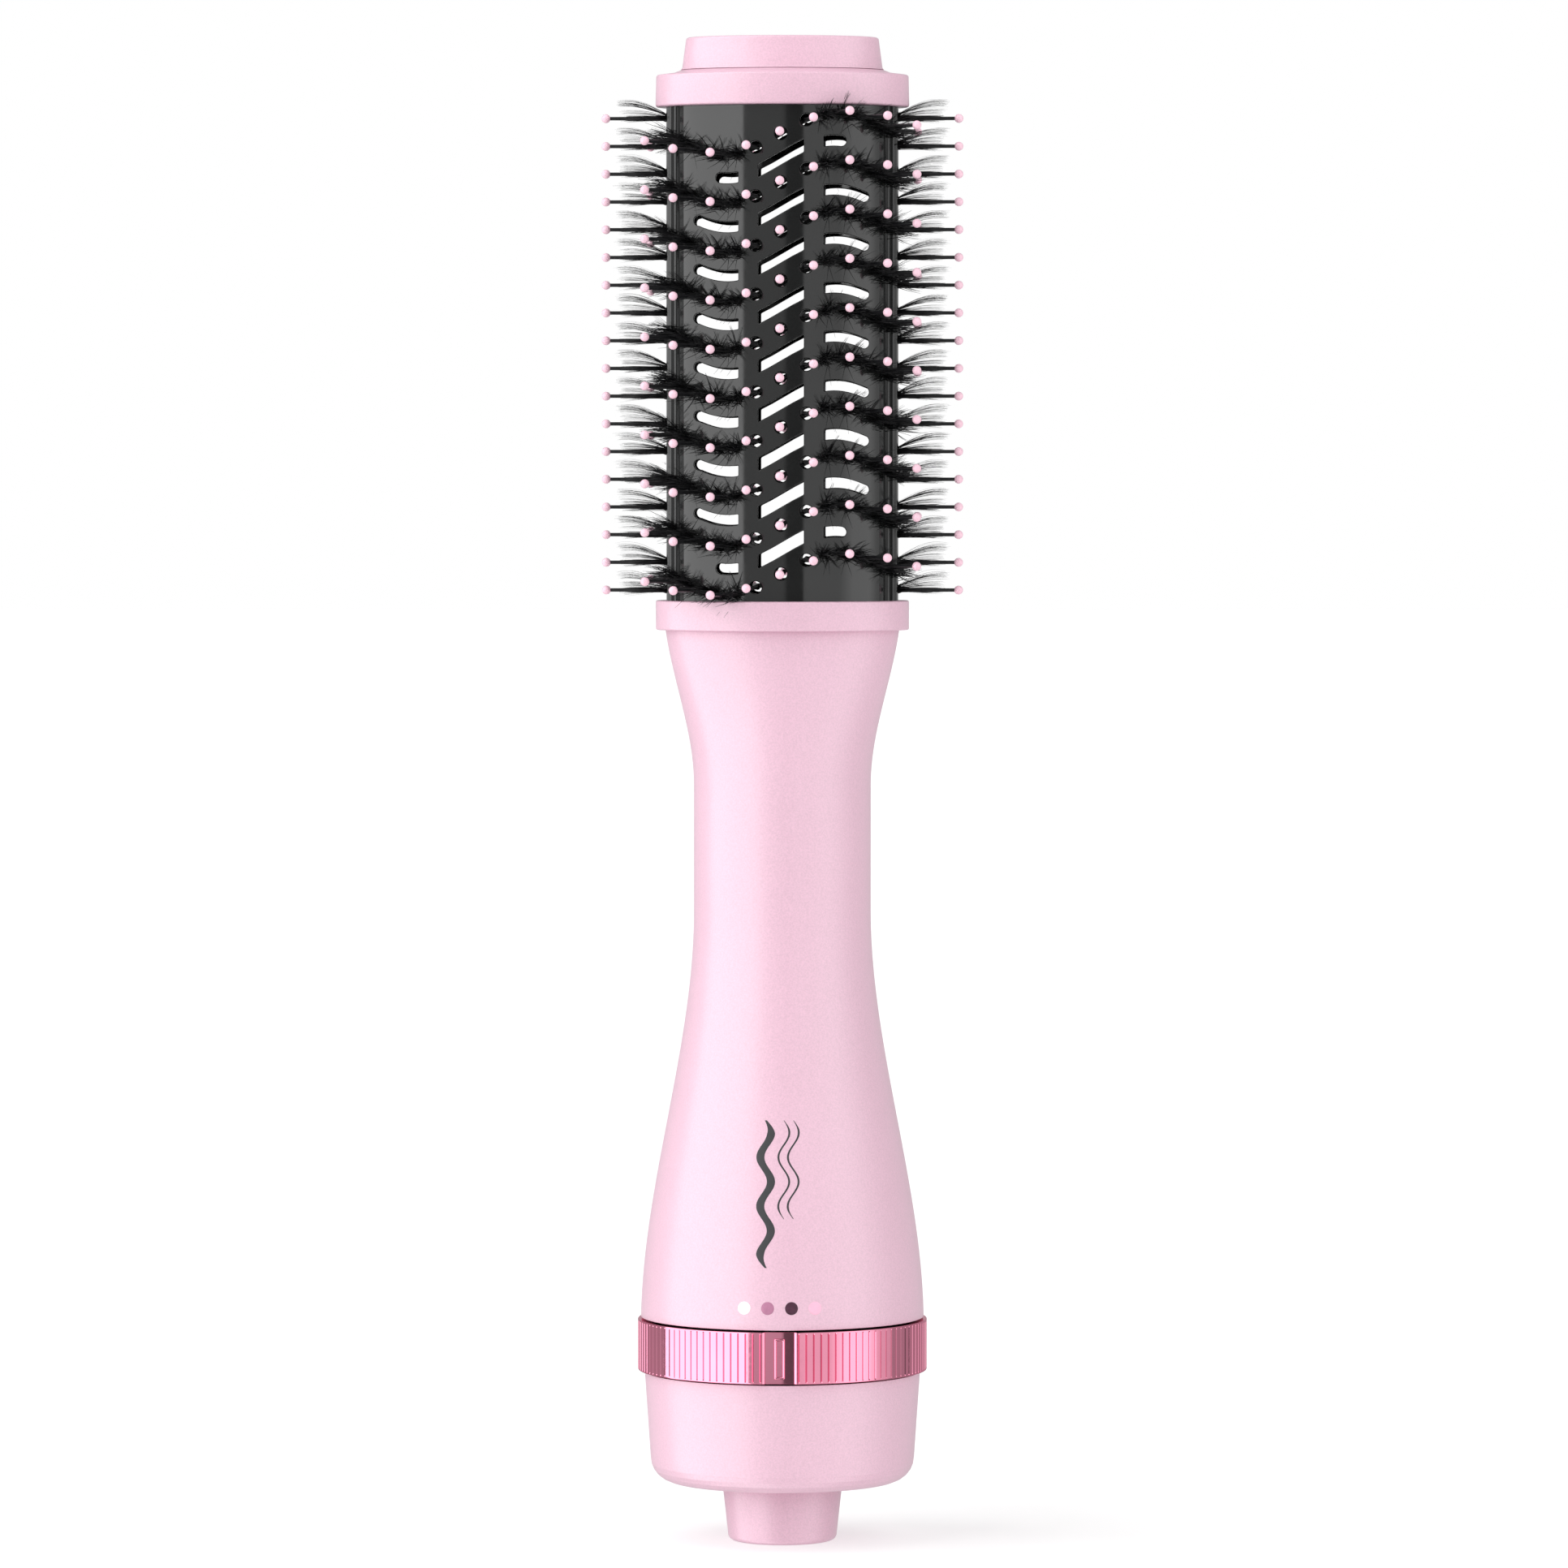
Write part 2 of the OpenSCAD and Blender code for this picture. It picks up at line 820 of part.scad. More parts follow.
module motor_rotor() {
    color(copper)
        difference() {
            union() {
                rod(rotor_r, rotor_bottom, rotor_top);
                rod(2.6, rotor_top - 1, rotor_top + 2.4);
            }
            rod(shaft_r, shaft_bottom, shaft_top);
            for (i = [0:rotor_slots - 1])
                rotate([0, 0, i * 360 / rotor_slots])
                    block(3.6, rotor_r + 1, -0.9, 0.9, rotor_bottom - 1, rotor_top - 0.5);
        }
}

module motor_shaft() {
    color(steel) rod(shaft_r, shaft_bottom, shaft_top);
}

module impeller() {
    color("white")
        difference() {
            union() {
                rod(fan_hub_r, fan_bottom, fan_top);
                intersection() {
                    rod(duct_in_r - 0.5, fan_bottom + 0.5, fan_top - 0.5);
                    for (i = [0:fan_blades - 1])
                        rotate([0, 0, i * 360 / fan_blades])
                            translate([0, 0, (fan_bottom + fan_top) / 2])
                                rotate([blade_tilt, 0, 0]) block(fan_hub_r - 1, duct_r, -0.5, 0.5, -9, 9);
                }
            }
            rod(shaft_r, fan_bottom - 2, fan_top + 2);
        }
}

// ---------------------------------------------------------------- heater

module heater_sleeve() {
    color(mica) tube(sleeve_r, sleeve_r - 0.6, sleeve_bottom, sleeve_top);
}

module heater_former() {
    tab_r = sleeve_r - 0.7;
    color(mica)
        for (turn = [0, 90])
            rotate([0, 0, turn]) {
                block(-former_r, former_r, -0.4, 0.4, sleeve_bottom + 0.5, former_top);
                for (z = [sleeve_bottom + 0.5, former_top - 2])
                    block(-tab_r, tab_r, -0.4, 0.4, z, z + 2);
            }
}

// Wire wound square over the former's four edges
module heater_coil() {
    sides = 6;
    last = 4 * coil_turns;
    r = former_r + 2 * coil_wire_r;
    points = [
        for (j = [0:last])
            for (i = [0:sides - 1])
                let (t = 360 * i / sides, out = r + coil_wire_r * sqrt(2) * cos(t))
                    [
                        out * cos(90 * j), out * sin(90 * j),
                        sleeve_bottom + 5 + coil_pitch * j / 4 + coil_wire_r * sin(t)
                    ]
    ];
    walls = [
        for (j = [0:last - 1]) for (i = [0:sides - 1])
            let (a = j * sides + i, b = j * sides + (i + 1) % sides)
                each [[a, b, b + sides], [a, b + sides, a + sides]]
    ];
    ends = [
        [for (i = [sides - 1:-1:0]) i],
        [for (i = [0:sides - 1]) last * sides + i]
    ];
    color(steel) polyhedron(points, concat(walls, ends));
}

module thermostat() {
    color(steel) {
        rod(4, former_top, former_top + 3, 0, 7);
        rod(2.4, former_top + 2.5, former_top + 4.5, 0, 7);
    }
}

module thermal_fuse() {
    color(steel)
        translate([-5, -7, former_top + 1.3]) rotate([0, 90, 0]) cylinder(r = 1.3, h = 10);
}

// ---------------------------------------------------------------- dial

module dial_ring() {
    half = 90 / dial_ribs;
    rib = 0.45;
    color(rose_chrome)
        difference() {
            translate([0, 0, dial_bottom])
                linear_extrude(dial_h)
                    difference() {
                        polygon([
                            for (i = [0:dial_ribs - 1])
                                for (c = [[-1.2, -rib], [-0.8, 0], [0.8, 0], [1.2, -rib]])
                                    let (t = i * 4 * half + c[0] * half, r = dial_r + c[1])
                                        [r * cos(t), r * sin(t)]
                        ]);
                        circle(r = carrier_r, $fn = 96);
                    }
            block(-window_w / 2, window_w / 2, -40, -dial_r + window_depth, 0, 60);
        }
}

module dial_pointer() {
    back = -dial_r + window_depth;
    color(rose_chrome) {
        block(-window_w / 2, window_w / 2, back - 0.4, back, dial_bottom + 0.1, dial_top - 0.1);
        block(-1.25, 1.25, back - 0.8, back - 0.3, dial_bottom + 1.2, dial_top - 1.2);
    }
}

module dial_carrier() {
    color(inner_plastic)
        difference() {
            union() {
                tube(carrier_r, neck_r + running_gap, dial_bottom + 0.3, dial_top - 0.3);
                block(-arm_w / 2, arm_w / 2, -neck_r - 1, -20, arm_bottom, arm_top);
            }
            for (step = [-1.5, -0.5, 0.5, 1.5])
                rotate([0, 0, 90 + step * setting_step])
                    rod(detent_r + 0.1, arm_bottom - 1, arm_top + 1, neck_r + 1.2);
        }
}

module switch_wiper() {
    color(copper) block(-2, 2, -25, -21, board_top + 0.3, arm_bottom);
}

// ---------------------------------------------------------------- swivel gland

module cord_gland() {
    foot = 1.6;
    foot_r = gland_r - 1.4;
    color(pearl_pink)
        rotate_extrude()
            polygon(concat(
                [[cord_bore_r, 0]],
                [for (t = [-90:22.5:0]) [foot_r - foot + foot * cos(t), foot + foot * sin(t)]],
                [
                    [gland_r, gland_top - 1], [gland_r, gland_top],
                    [swivel_hole_r - running_gap, gland_top],
                    [swivel_hole_r - running_gap, cup_bottom + cup_floor + 0.4],
                    [stem_r, cup_bottom + cup_floor + 0.4],
                    [stem_r, stem_top], [cord_bore_r, stem_top]
                ]
            ));
}

module gland_retainer() {
    color(steel) tube(stem_r + 3.5, stem_r, cup_bottom + cup_floor + 0.4, cup_bottom + cup_floor + 2);
}

module slip_rings() {
    color(copper)
        for (z = ring_bottoms) tube(stem_r + 1.2, stem_r, z, z + ring_h);
}

end_cap_tip();
end_cap_flange();
cap_screws();
tie_rods();
front_barrel_plate();
rear_barrel_plate();
left_bristle_bed();
right_bristle_bed();
front_pin_frame();
rear_pin_frame();
front_pins();
rear_pins();
left_pins();
right_pins();
front_pin_tips();
rear_pin_tips();
left_pin_tips();
right_pin_tips();
front_tufts();
rear_tufts();
left_tufts();
right_tufts();
collar();
barrel_base();
front_handle_shell();
rear_handle_shell();
shell_ring();
setting_mark_off();
setting_mark_cool();
setting_mark_low();
setting_mark_high();
base_cup();
base_screws();
inlet_filter();
chassis();
switch_board();
detent_spring();
contact_brushes();
internal_wires();
fan_duct();
motor_mount();
motor_case();
motor_magnets();
motor_bearings();
heater_sleeve();
heater_former();
heater_coil();
thermostat();
thermal_fuse();
dial_ring();
dial_pointer();
dial_carrier();
switch_wiper();
impeller();
motor_shaft();
motor_rotor();
cord_gland();
gland_retainer();
slip_rings();
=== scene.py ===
"""Hot air brush: detailed meshes, materials, floor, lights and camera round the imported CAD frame."""
import json
import math
import random

import bpy
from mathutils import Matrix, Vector, geometry


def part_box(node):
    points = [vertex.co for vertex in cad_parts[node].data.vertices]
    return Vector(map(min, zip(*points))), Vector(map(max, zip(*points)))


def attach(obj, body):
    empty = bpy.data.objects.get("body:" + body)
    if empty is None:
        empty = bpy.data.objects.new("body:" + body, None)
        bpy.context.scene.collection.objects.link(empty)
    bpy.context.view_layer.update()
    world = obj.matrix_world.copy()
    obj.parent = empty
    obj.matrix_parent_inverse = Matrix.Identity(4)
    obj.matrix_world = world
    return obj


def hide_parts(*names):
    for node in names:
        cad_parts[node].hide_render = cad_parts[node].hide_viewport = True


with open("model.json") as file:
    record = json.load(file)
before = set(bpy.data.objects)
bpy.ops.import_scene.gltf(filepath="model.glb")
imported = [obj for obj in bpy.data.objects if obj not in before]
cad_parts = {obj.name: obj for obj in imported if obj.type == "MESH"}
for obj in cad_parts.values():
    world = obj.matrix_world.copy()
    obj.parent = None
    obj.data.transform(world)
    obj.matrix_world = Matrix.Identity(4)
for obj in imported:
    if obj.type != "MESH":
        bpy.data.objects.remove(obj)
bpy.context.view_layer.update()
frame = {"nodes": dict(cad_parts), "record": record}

MM = 0.001
FRONT = -1
BACK = 1


# ---------------------------------------------------------------- camera
SENSOR_MM = 36
IMAGE_HEIGHT = 367.08 * MM                 # what the picture covers at the brush's axis
CAMERA_AWAY = 1904 * MM
CAMERA_HEIGHT = 253 * MM
CAMERA_TURN = math.radians(1.15)
AIM = Vector((0.38 * MM, 0, 177.5 * MM))


def make_camera():
    away_x, away_y = math.sin(CAMERA_TURN) * CAMERA_AWAY, -math.cos(CAMERA_TURN) * CAMERA_AWAY
    place = Vector((away_x, away_y, CAMERA_HEIGHT))
    data = bpy.data.cameras.new("camera")
    data.sensor_width = SENSOR_MM
    data.lens = SENSOR_MM * (AIM - place).length / IMAGE_HEIGHT
    data.clip_start, data.clip_end = 0.1, 50
    camera = bpy.data.objects.new("camera", data)
    bpy.context.scene.collection.objects.link(camera)
    camera.location = place
    camera.rotation_mode = "QUATERNION"
    camera.rotation_quaternion = (AIM - place).to_track_quat("-Z", "Y")
    bpy.context.scene.camera = camera


make_camera()


# ---------------------------------------------------------------- sizes taken from the frame
FLAT = math.cos(math.radians(3.75))        # CAD ovals have 48 sides, with a flat facing each way


def low(node):
    return Vector(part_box(node)[0])


def high(node):
    return Vector(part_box(node)[1])


PIN_LEN = 12.1 * MM
SIDE_PIN_LEN = high("right_pins").x - low("right_pins").x
PIN_R = (high("right_pins").y - low("right_pins").y) / 2
BALL_R = 1.05 * MM
BARREL_W = low("right_pins").x / FLAT
BARREL_D = -low("front_barrel_plate").y / FLAT
WALL = 1.6 * MM
PLATE_X = high("front_barrel_plate").x - 1.55 * MM      # a dark step along each edge belongs to the bed
PLATE_LOW = low("front_barrel_plate").z
PLATE_HIGH = high("front_barrel_plate").z
TOP_ROW = 328.8 * MM
ROWS = 10
ROW_PITCH = 11.32 * MM
WAVE_H = 4.8 * MM
WAVE_LEN = 51.2 * MM
INNER_PIN_X = 5.9 * MM
OUTER_PIN_X = [12.1 * MM, 18.2 * MM, 22.5 * MM]
TUFT_X = [10.2 * MM, 14.2 * MM, 16.4 * MM, 20.7 * MM, 24 * MM]
SIDE_PINS = 18
SIDE_TOP = high("right_pins").z - PIN_R
SIDE_PITCH = (SIDE_TOP - low("right_pins").z - PIN_R) / (SIDE_PINS - 1)


def wave(x):
    return WAVE_H * math.sin(2 * math.pi * x / WAVE_LEN)


def row_z(k):
    return TOP_ROW - k * ROW_PITCH


def on_barrel(x, side, depth=0.0):
    """Point of the barrel's surface at x on the front or the back, at z = 0."""
    a, b = BARREL_W - depth, BARREL_D - depth
    return Vector((x, side * b * math.sqrt(max(0, 1 - (x / a) ** 2)), 0))


def facing(x, side):
    p = on_barrel(x, side)
    return Vector((p.x / BARREL_W ** 2, p.y / BARREL_D ** 2, 0)).normalized()


# ---------------------------------------------------------------- materials
class Tree:
    """The node tree of a material or a world, and the kinds of node that this script wires into it."""

    def __init__(self, owner):
        owner.use_nodes = True
        self.nodes, self.links = owner.node_tree.nodes, owner.node_tree.links

    def set(self, node, **values):
        """Sets a node's inputs, each to a value of its own or to another node's output."""
        for key, value in values.items():
            socket = node.inputs[key.replace("_", " ")]
            if isinstance(value, bpy.types.NodeSocket):
                self.links.new(value, socket)
            else:
                socket.default_value = value
        return node

    def new(self, kind, **values):
        return self.set(self.nodes.new("ShaderNode" + kind), **values)

    def ramp(self, fac, stops):
        node = self.new("ValToRGB", Fac=fac)
        elements = node.color_ramp.elements
        while len(elements) < len(stops):
            elements.new(0.5)
        for element, (position, color) in zip(elements, stops):
            element.position = position
            element.color = (*color, 1)
        return node.outputs["Color"]

    def spread(self, fac, low_value, high_value, from_low=0.3, from_high=0.7):
        node = self.new("MapRange", Value=fac, From_Min=from_low, From_Max=from_high,
                        To_Min=low_value, To_Max=high_value)
        return node.outputs["Result"]


class Look(Tree):
    """A material being made; textures keep their place on the object."""

    def __init__(self, name, color, rough, stretch=(1, 1, 1), **sockets):
        self.material = bpy.data.materials.new(name)
        super().__init__(self.material)
        self.shader = self.nodes["Principled BSDF"]
        self.set(self.shader, Base_Color=(*color, 1), Roughness=rough, **sockets)
        place = self.new("TexCoord").outputs["Object"]
        self.vector = self.new("Mapping", Vector=place, Scale=stretch).outputs["Vector"]

    def noise(self, scale, detail=2.0):
        return self.new("TexNoise", Vector=self.vector, Scale=scale, Detail=detail).outputs["Fac"]

    def mottle(self, fac, color, darker, lighter):
        """Base colour that wavers between a darker and a lighter shade."""
        self.set(self.shader, Base_Color=self.ramp(fac, shades(color, (0.3, darker), (0.7, lighter))))

    def vary_roughness(self, fac, low_value, high_value):
        self.set(self.shader, Roughness=self.spread(fac, low_value, high_value))

    def bump(self, fac, strength, distance):
        bumped = self.new("Bump", Strength=strength, Distance=distance, Height=fac)
        self.set(self.shader, Normal=bumped.outputs["Normal"])


def shades(color, *steps):
    """Stops for a ramp: the colour made darker or lighter at each position."""
    return [(position, tuple(min(1.0, c * factor) for c in color)) for position, factor in steps]


PEARL = (0.725, 0.465, 0.57)


def pearl_pink():
    """Satin pearl plastic: soft cloudiness, fine mica flakes and a thin clear coat."""
    look = Look("pearl_plastic", PEARL, 0.38, Specular_IOR_Level=0.75, Coat_Weight=0.5, Coat_Roughness=0.3)
    flakes = look.noise(2600, 1.0)
    clouds = look.noise(35, 3.0)
    mix = look.new("Mix")
    mix.data_type = "RGBA"
    look.set(mix, Factor=0.35,
             A=look.ramp(flakes, shades(PEARL, (0.3, 0.9), (0.5, 1), (0.72, 1.1))),
             B=look.ramp(clouds, shades(PEARL, (0.35, 0.98), (0.65, 1.02))))
    look.set(look.shader, Base_Color=mix.outputs["Result"])
    look.vary_roughness(flakes, 0.32, 0.42)
    look.bump(flakes, 0.06, 0.0001)
    return look.material


def rose_chrome():
    """Rose-coloured chrome plating that stays rosy where it is seen at a slant."""
    rose = (0.80, 0.29, 0.41)
    look = Look("rose_chrome", rose, 0.08, Metallic=1.0, Coat_Weight=0.1, Coat_Roughness=0.05,
                Specular_Tint=(1, 0.65, 0.75, 1))
    look.mottle(look.noise(60), rose, 0.96, 1.04)
    look.vary_roughness(look.noise(900), 0.05, 0.11)
    return look.material


def ceramic_grey():
    """Glossy dark ceramic coat with faint orange peel."""
    ceramic = (0.0105, 0.011, 0.011)
    look = Look("ceramic_grey", ceramic, 0.06, Specular_IOR_Level=0.62)
    peel = look.noise(700)
    look.mottle(look.noise(90, 3.0), ceramic, 0.9, 1.1)
    look.vary_roughness(peel, 0.05, 0.10)
    look.bump(peel, 0.03, 0.00003)
    return look.material


def nylon(name, color, rough=0.38):
    """Satin bristle nylon, a little uneven in colour."""
    look = Look(name, color, rough, Specular_IOR_Level=0.35)
    grain = look.noise(1500)
    look.mottle(grain, color, 0.75, 1.35)
    look.vary_roughness(grain, rough - 0.08, rough + 0.1)
    return look.material


def moulded(name, color, rough=0.5, grain_scale=1200, contrast=0.08, metallic=0.0, stretch=(1, 1, 1),
            depth=0.05):
    """A plain solid with fine grain: moulded plastic, or turned metal where the grain is stretched."""
    look = Look(name, color, rough, stretch, Metallic=metallic)
    grain = look.noise(grain_scale, 3.0)
    look.mottle(grain, color, 1 - contrast, 1 + contrast)
    look.vary_roughness(grain, rough - 0.06, rough + 0.08)
    look.bump(grain, depth, 0.00008)
    return look.material


TURNED = (1, 1, 12)                        # stretches the grain into fine turning marks
MATERIALS = {
    "pearl_plastic": pearl_pink(),
    "rose_chrome": rose_chrome(),
    "ceramic_grey": ceramic_grey(),
    "bristle": nylon("bristle", (0.007, 0.007, 0.008)),
    "tip": moulded("tip", (0.88, 0.58, 0.68), 0.3, 1800, 0.04, depth=0.02),
    "inner_plastic": moulded("inner_plastic", (0.035, 0.035, 0.038)),
    "mark_white": moulded("mark_white", (0.93, 0.90, 0.92), 0.35, contrast=0.03),
    "mark_mauve": moulded("mark_mauve", (0.44, 0.18, 0.29), 0.35),
    "mark_plum": moulded("mark_plum", (0.06, 0.016, 0.035), 0.35, contrast=0.3),
    "mark_pink": moulded("mark_pink", (0.95, 0.48, 0.63), 0.35, contrast=0.04),
    "steel": moulded("steel", (0.55, 0.56, 0.58), 0.3, 600, metallic=1.0, stretch=TURNED),
    "copper": moulded("copper", (0.78, 0.42, 0.26), 0.28, 900, metallic=1.0, stretch=TURNED),
    "bronze": moulded("bronze", (0.55, 0.38, 0.18), 0.45, 2400, metallic=1.0),
    "mica": moulded("mica", (0.55, 0.50, 0.38), 0.45, 400, 0.2),
    "board": moulded("board", (0.03, 0.14, 0.07), 0.4, 300, 0.2),
    "wire": moulded("wire", (0.45, 0.04, 0.05), 0.45),
    "fan_plastic": moulded("fan_plastic", (0.75, 0.75, 0.74), 0.45),
}

for entry in frame["record"]["subparts"]:
    node = frame["nodes"][entry["node"]]
    node.data.materials.clear()
    node.data.materials.append(MATERIALS[entry["material_slot"]])


# ---------------------------------------------------------------- mesh helpers
def add_piece(name, verts, faces, slot, body, nodes=(), sharp=35, normals=None):
    """Builds one piece from points and faces, gives it its material, and makes it ride on a body."""
    mesh = bpy.data.meshes.new(name)
    mesh.from_pydata([tuple(v) for v in verts], [], faces)
    mesh.validate()
    mesh.polygons.foreach_set("use_smooth", [True] * len(mesh.polygons))
    mesh.set_sharp_from_angle(angle=math.radians(sharp))
    if normals:
        mesh.normals_split_custom_set_from_vertices(
            [normals.get(i, tuple(v.normal)) for i, v in enumerate(mesh.vertices)])
    mesh.materials.append(MATERIALS[slot])
    piece = bpy.data.objects.new(name, mesh)
    bpy.context.scene.collection.objects.link(piece)
    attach(piece, body)
    for node in nodes:
        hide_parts(node)
    return piece


class Shape:
    """Points and faces of a piece that is put together from several closed forms."""

    def __init__(self):
        self.verts, self.faces = [], []

    def loft(self, rings, caps="fan", closed=False):
        """Joins rings of equally many points; a halves cap suits a ring that goes out and comes back."""
        start, n = len(self.verts), len(rings[0])
        for ring in rings:
            self.verts.extend(ring)
        count = len(rings)
        for j in range(count if closed else count - 1):
            a, b = start + j * n, start + (j + 1) % count * n
            self.faces.extend((a + i, a + (i + 1) % n, b + (i + 1) % n, b + i) for i in range(n))
        if closed:
            return
        for base, flip in ((start, True), (start + (count - 1) * n, False)):
            if caps == "halves":
                last = base + n - 1
                cap = [(base + i, base + i + 1, last - i - 1, last - i) for i in range(n // 2 - 1)]
            else:
                middle = sum((Vector(v) for v in self.verts[base:base + n]), Vector()) / n
                self.verts.append(middle)
                cap = [(base + i, base + (i + 1) % n, len(self.verts) - 1) for i in range(n)]
            self.faces.extend(tuple(reversed(f)) if flip else f for f in cap)

    def piece(self, name, slot, body, nodes=(), sharp=35):
        return add_piece(name, self.verts, self.faces, slot, body, nodes, sharp)


def circle(n):
    """n angles, evenly round a full turn."""
    return [2 * math.pi * i / n for i in range(n)]


def oval_ring(a, b, z, n=160):
    return [(a * math.cos(t), b * math.sin(t), z) for t in circle(n)]


def fillet(r, z, size, start, end, steps=6):
    """Points (r, z) of a rounded corner centred at r, z, from one angle to another, in degrees."""
    angles = [math.radians(start + (end - start) * i / steps) for i in range(steps + 1)]
    return [(r + size * math.cos(t), z + size * math.sin(t)) for t in angles]


def lathe_rings(profile, n=192):
    """Rings for a closed profile of (r, z) turned about the axis: one ring for each angle."""
    return [[(r * math.cos(t), r * math.sin(t), z) for r, z in profile] for t in circle(n)]


def smooth(t):
    """0 up to t = 0, 1 from t = 1, and an even rise between them."""
    u = max(0.0, min(1.0, t))
    return u * u * (3 - 2 * u)


# ---------------------------------------------------------------- handle
HANDLE_LOW = low("front_handle_shell").z
HANDLE_HIGH = high("front_handle_shell").z
BODY_R = 33.2 * MM
GRIP_R = 20.7 * MM
WAIST = (50 * MM, 148 * MM)
FLARE = (177.5 * MM, 221 * MM)
FLARE_W = 7.2 * MM
FLARE_D = 2.5 * MM
SHELL_WALL = 2.2 * MM
SHELL_EDGE = 0.18 * MM
SEAM = 0.14 * MM                           # half the width of the groove where the shells meet
SEAM_GAP = 0.02 * MM
SHELL_RINGS = 110


def handle_size(z):
    """Half the handle's width and half its depth at a height."""
    waist = BODY_R - (BODY_R - GRIP_R) * smooth((z - WAIST[0]) / (WAIST[1] - WAIST[0]))
    flare = smooth((z - FLARE[0]) / (FLARE[1] - FLARE[0]))
    return waist + FLARE_W * flare, waist - FLARE_D * flare


def shell_ring_points(z, inset, side, arc=96):
    """One closed ring of a half shell: the outer skin from seam to seam, then the inner skin back."""
    a, b = handle_size(z)
    a, b = a - inset, b - inset
    outer, inner = [], []
    for i in range(arc + 1):
        t = math.pi * i / arc
        x, y = a * math.cos(t), b * math.sin(t)
        groove = max(0.0, 1 - y / SEAM)
        outer.append((x * (1 - 0.5 * groove * SEAM / a), side * max(y, SEAM_GAP), z))
        thin = SHELL_WALL - 2 * inset
        inner.append((x * (1 - thin / a), side * max(y * (1 - thin / b), SEAM_GAP), z))
    ring = outer + inner[::-1]
    return ring if side == BACK else ring[::-1]


def handle_shell(name, side):
    shape = Shape()
    foot = HANDLE_LOW + SHELL_EDGE
    levels = [(HANDLE_LOW, SHELL_EDGE), (HANDLE_LOW + 0.3 * SHELL_EDGE, 0.3 * SHELL_EDGE), (foot, 0)]
    span = HANDLE_HIGH - HANDLE_LOW - 2 * SHELL_EDGE
    levels += [(foot + span * j / SHELL_RINGS, 0) for j in range(1, SHELL_RINGS + 1)]
    levels.append((HANDLE_HIGH, 0.2 * SHELL_EDGE))
    shape.loft([shell_ring_points(z, inset, side) for z, inset in levels], "halves")
    return shape.piece(name, "pearl_plastic", "handle", [name], 40)


handle_shell("front_handle_shell", FRONT)
handle_shell("rear_handle_shell", BACK)


# ---------------------------------------------------------------- collar and cap
COLLAR_W = high("collar").x / FLAT
COLLAR_D = high("collar").y / FLAT
COLLAR_LOW, COLLAR_HIGH = low("collar").z, high("collar").z
LIP = COLLAR_W - BARREL_W                  # how far collar and cap stand out from the barrel
PLAY = 0.1 * MM


def pearl_oval(name, profile, closed=False):
    """A pearl piece on the handle whose profile is (inset from the collar's outline, z)."""
    shape = Shape()
    shape.loft([oval_ring(COLLAR_W - inset, COLLAR_D - inset, z) for inset, z in profile], closed=closed)
    shape.piece(name, "pearl_plastic", "handle", [name])


def corner(inset, z, size, start, end):
    """A rounded corner for pearl_oval, where going outwards makes the inset smaller."""
    return [(-r, height) for r, height in fillet(-inset, z, size, start, end)]


def make_collar():
    edge = 0.4 * MM
    throat = COLLAR_W - low("right_bristle_bed").x
    profile = corner(edge, COLLAR_LOW + edge, edge, -90, 0)
    profile += corner(edge, COLLAR_HIGH - edge, edge, 0, 90)
    profile += [(LIP + PLAY, COLLAR_HIGH), (LIP + 1.2 * PLAY, PLATE_LOW)]
    profile += [(throat, PLATE_LOW), (throat, COLLAR_LOW)]
    pearl_oval("collar", profile, closed=True)


def make_cap():
    """The flange slopes up to the raised tip block, whose top is slightly crowned."""
    flange_low, flange_high = low("end_cap_flange").z, high("end_cap_flange").z
    top = high("end_cap_tip").z
    edge = 0.55 * MM
    round_top = 0.65 * MM
    crown = 0.3 * MM
    ledge = flange_high - 1.2 * MM
    block = COLLAR_W - 23.4 * MM               # inset of the tip block's foot
    flange = [(LIP + PLAY, PLATE_HIGH), (LIP + PLAY, flange_low)]
    flange += corner(edge, flange_low + edge, edge, -90, 0)
    flange += corner(edge + 0.15 * MM, ledge - edge, edge, 0, 80)
    flange += [(block - 2 * MM, flange_high - 0.75 * MM), (block - 0.6 * MM, flange_high - 0.2 * MM),
               (block + 0.2 * MM, flange_high)]
    pearl_oval("end_cap_flange", flange)
    tip = [(block + 1 * MM, flange_high - 0.1 * MM), (block - 0.3 * MM, flange_high + 0.02 * MM),
           (block + 0.05 * MM, flange_high + 0.5 * MM)]
    tip += corner(block + 0.9 * MM + round_top, top - round_top - crown, round_top, 8, 82)
    tip += [(block + k * MM, top - crown * (1 - (k - 3) / 12)) for k in (4, 6, 9, 12)]
    pearl_oval("end_cap_tip", tip)


make_collar()
make_cap()


# ---------------------------------------------------------------- barrel plates
SLOT_IN = 9.9 * MM
SLOT_OUT = 20.3 * MM
SLOT_SHORT = 15.1 * MM
SLOT_H = 2.45 * MM
SLOT_LEAN = math.tan(math.radians(2))
SLOT_DROP = 0.25 * MM
MID_SLOT_X = 5.3 * MM
MID_SLOT_H = 3.05 * MM
HOLE_R = 1.45 * MM
RIM = 0.22 * MM
PLATE_EDGE = 0.2 * MM
SLOT_CORNER = 0.3 * MM
MESH_STEP = 1.3 * MM
NEAR = 0.45 * MM                           # the sheet's own points keep this far from an opening


def rounded(corners, radius, steps=4):
    """A closed outline with its sharp corners cut to small arcs; corners are (point, is_sharp)."""
    out, n = [], len(corners)
    for i, (p, sharp) in enumerate(corners):
        if not sharp:
            out.append(p)
            continue
        before, after = Vector(corners[i - 1][0]), Vector(corners[(i + 1) % n][0])
        p = Vector(p)
        a = p + (before - p).normalized() * radius
        b = p + (after - p).normalized() * radius
        for s in range(steps + 1):
            t = s / steps
            out.append(tuple((1 - t) ** 2 * a + 2 * t * (1 - t) * p + t * t * b))
    return out


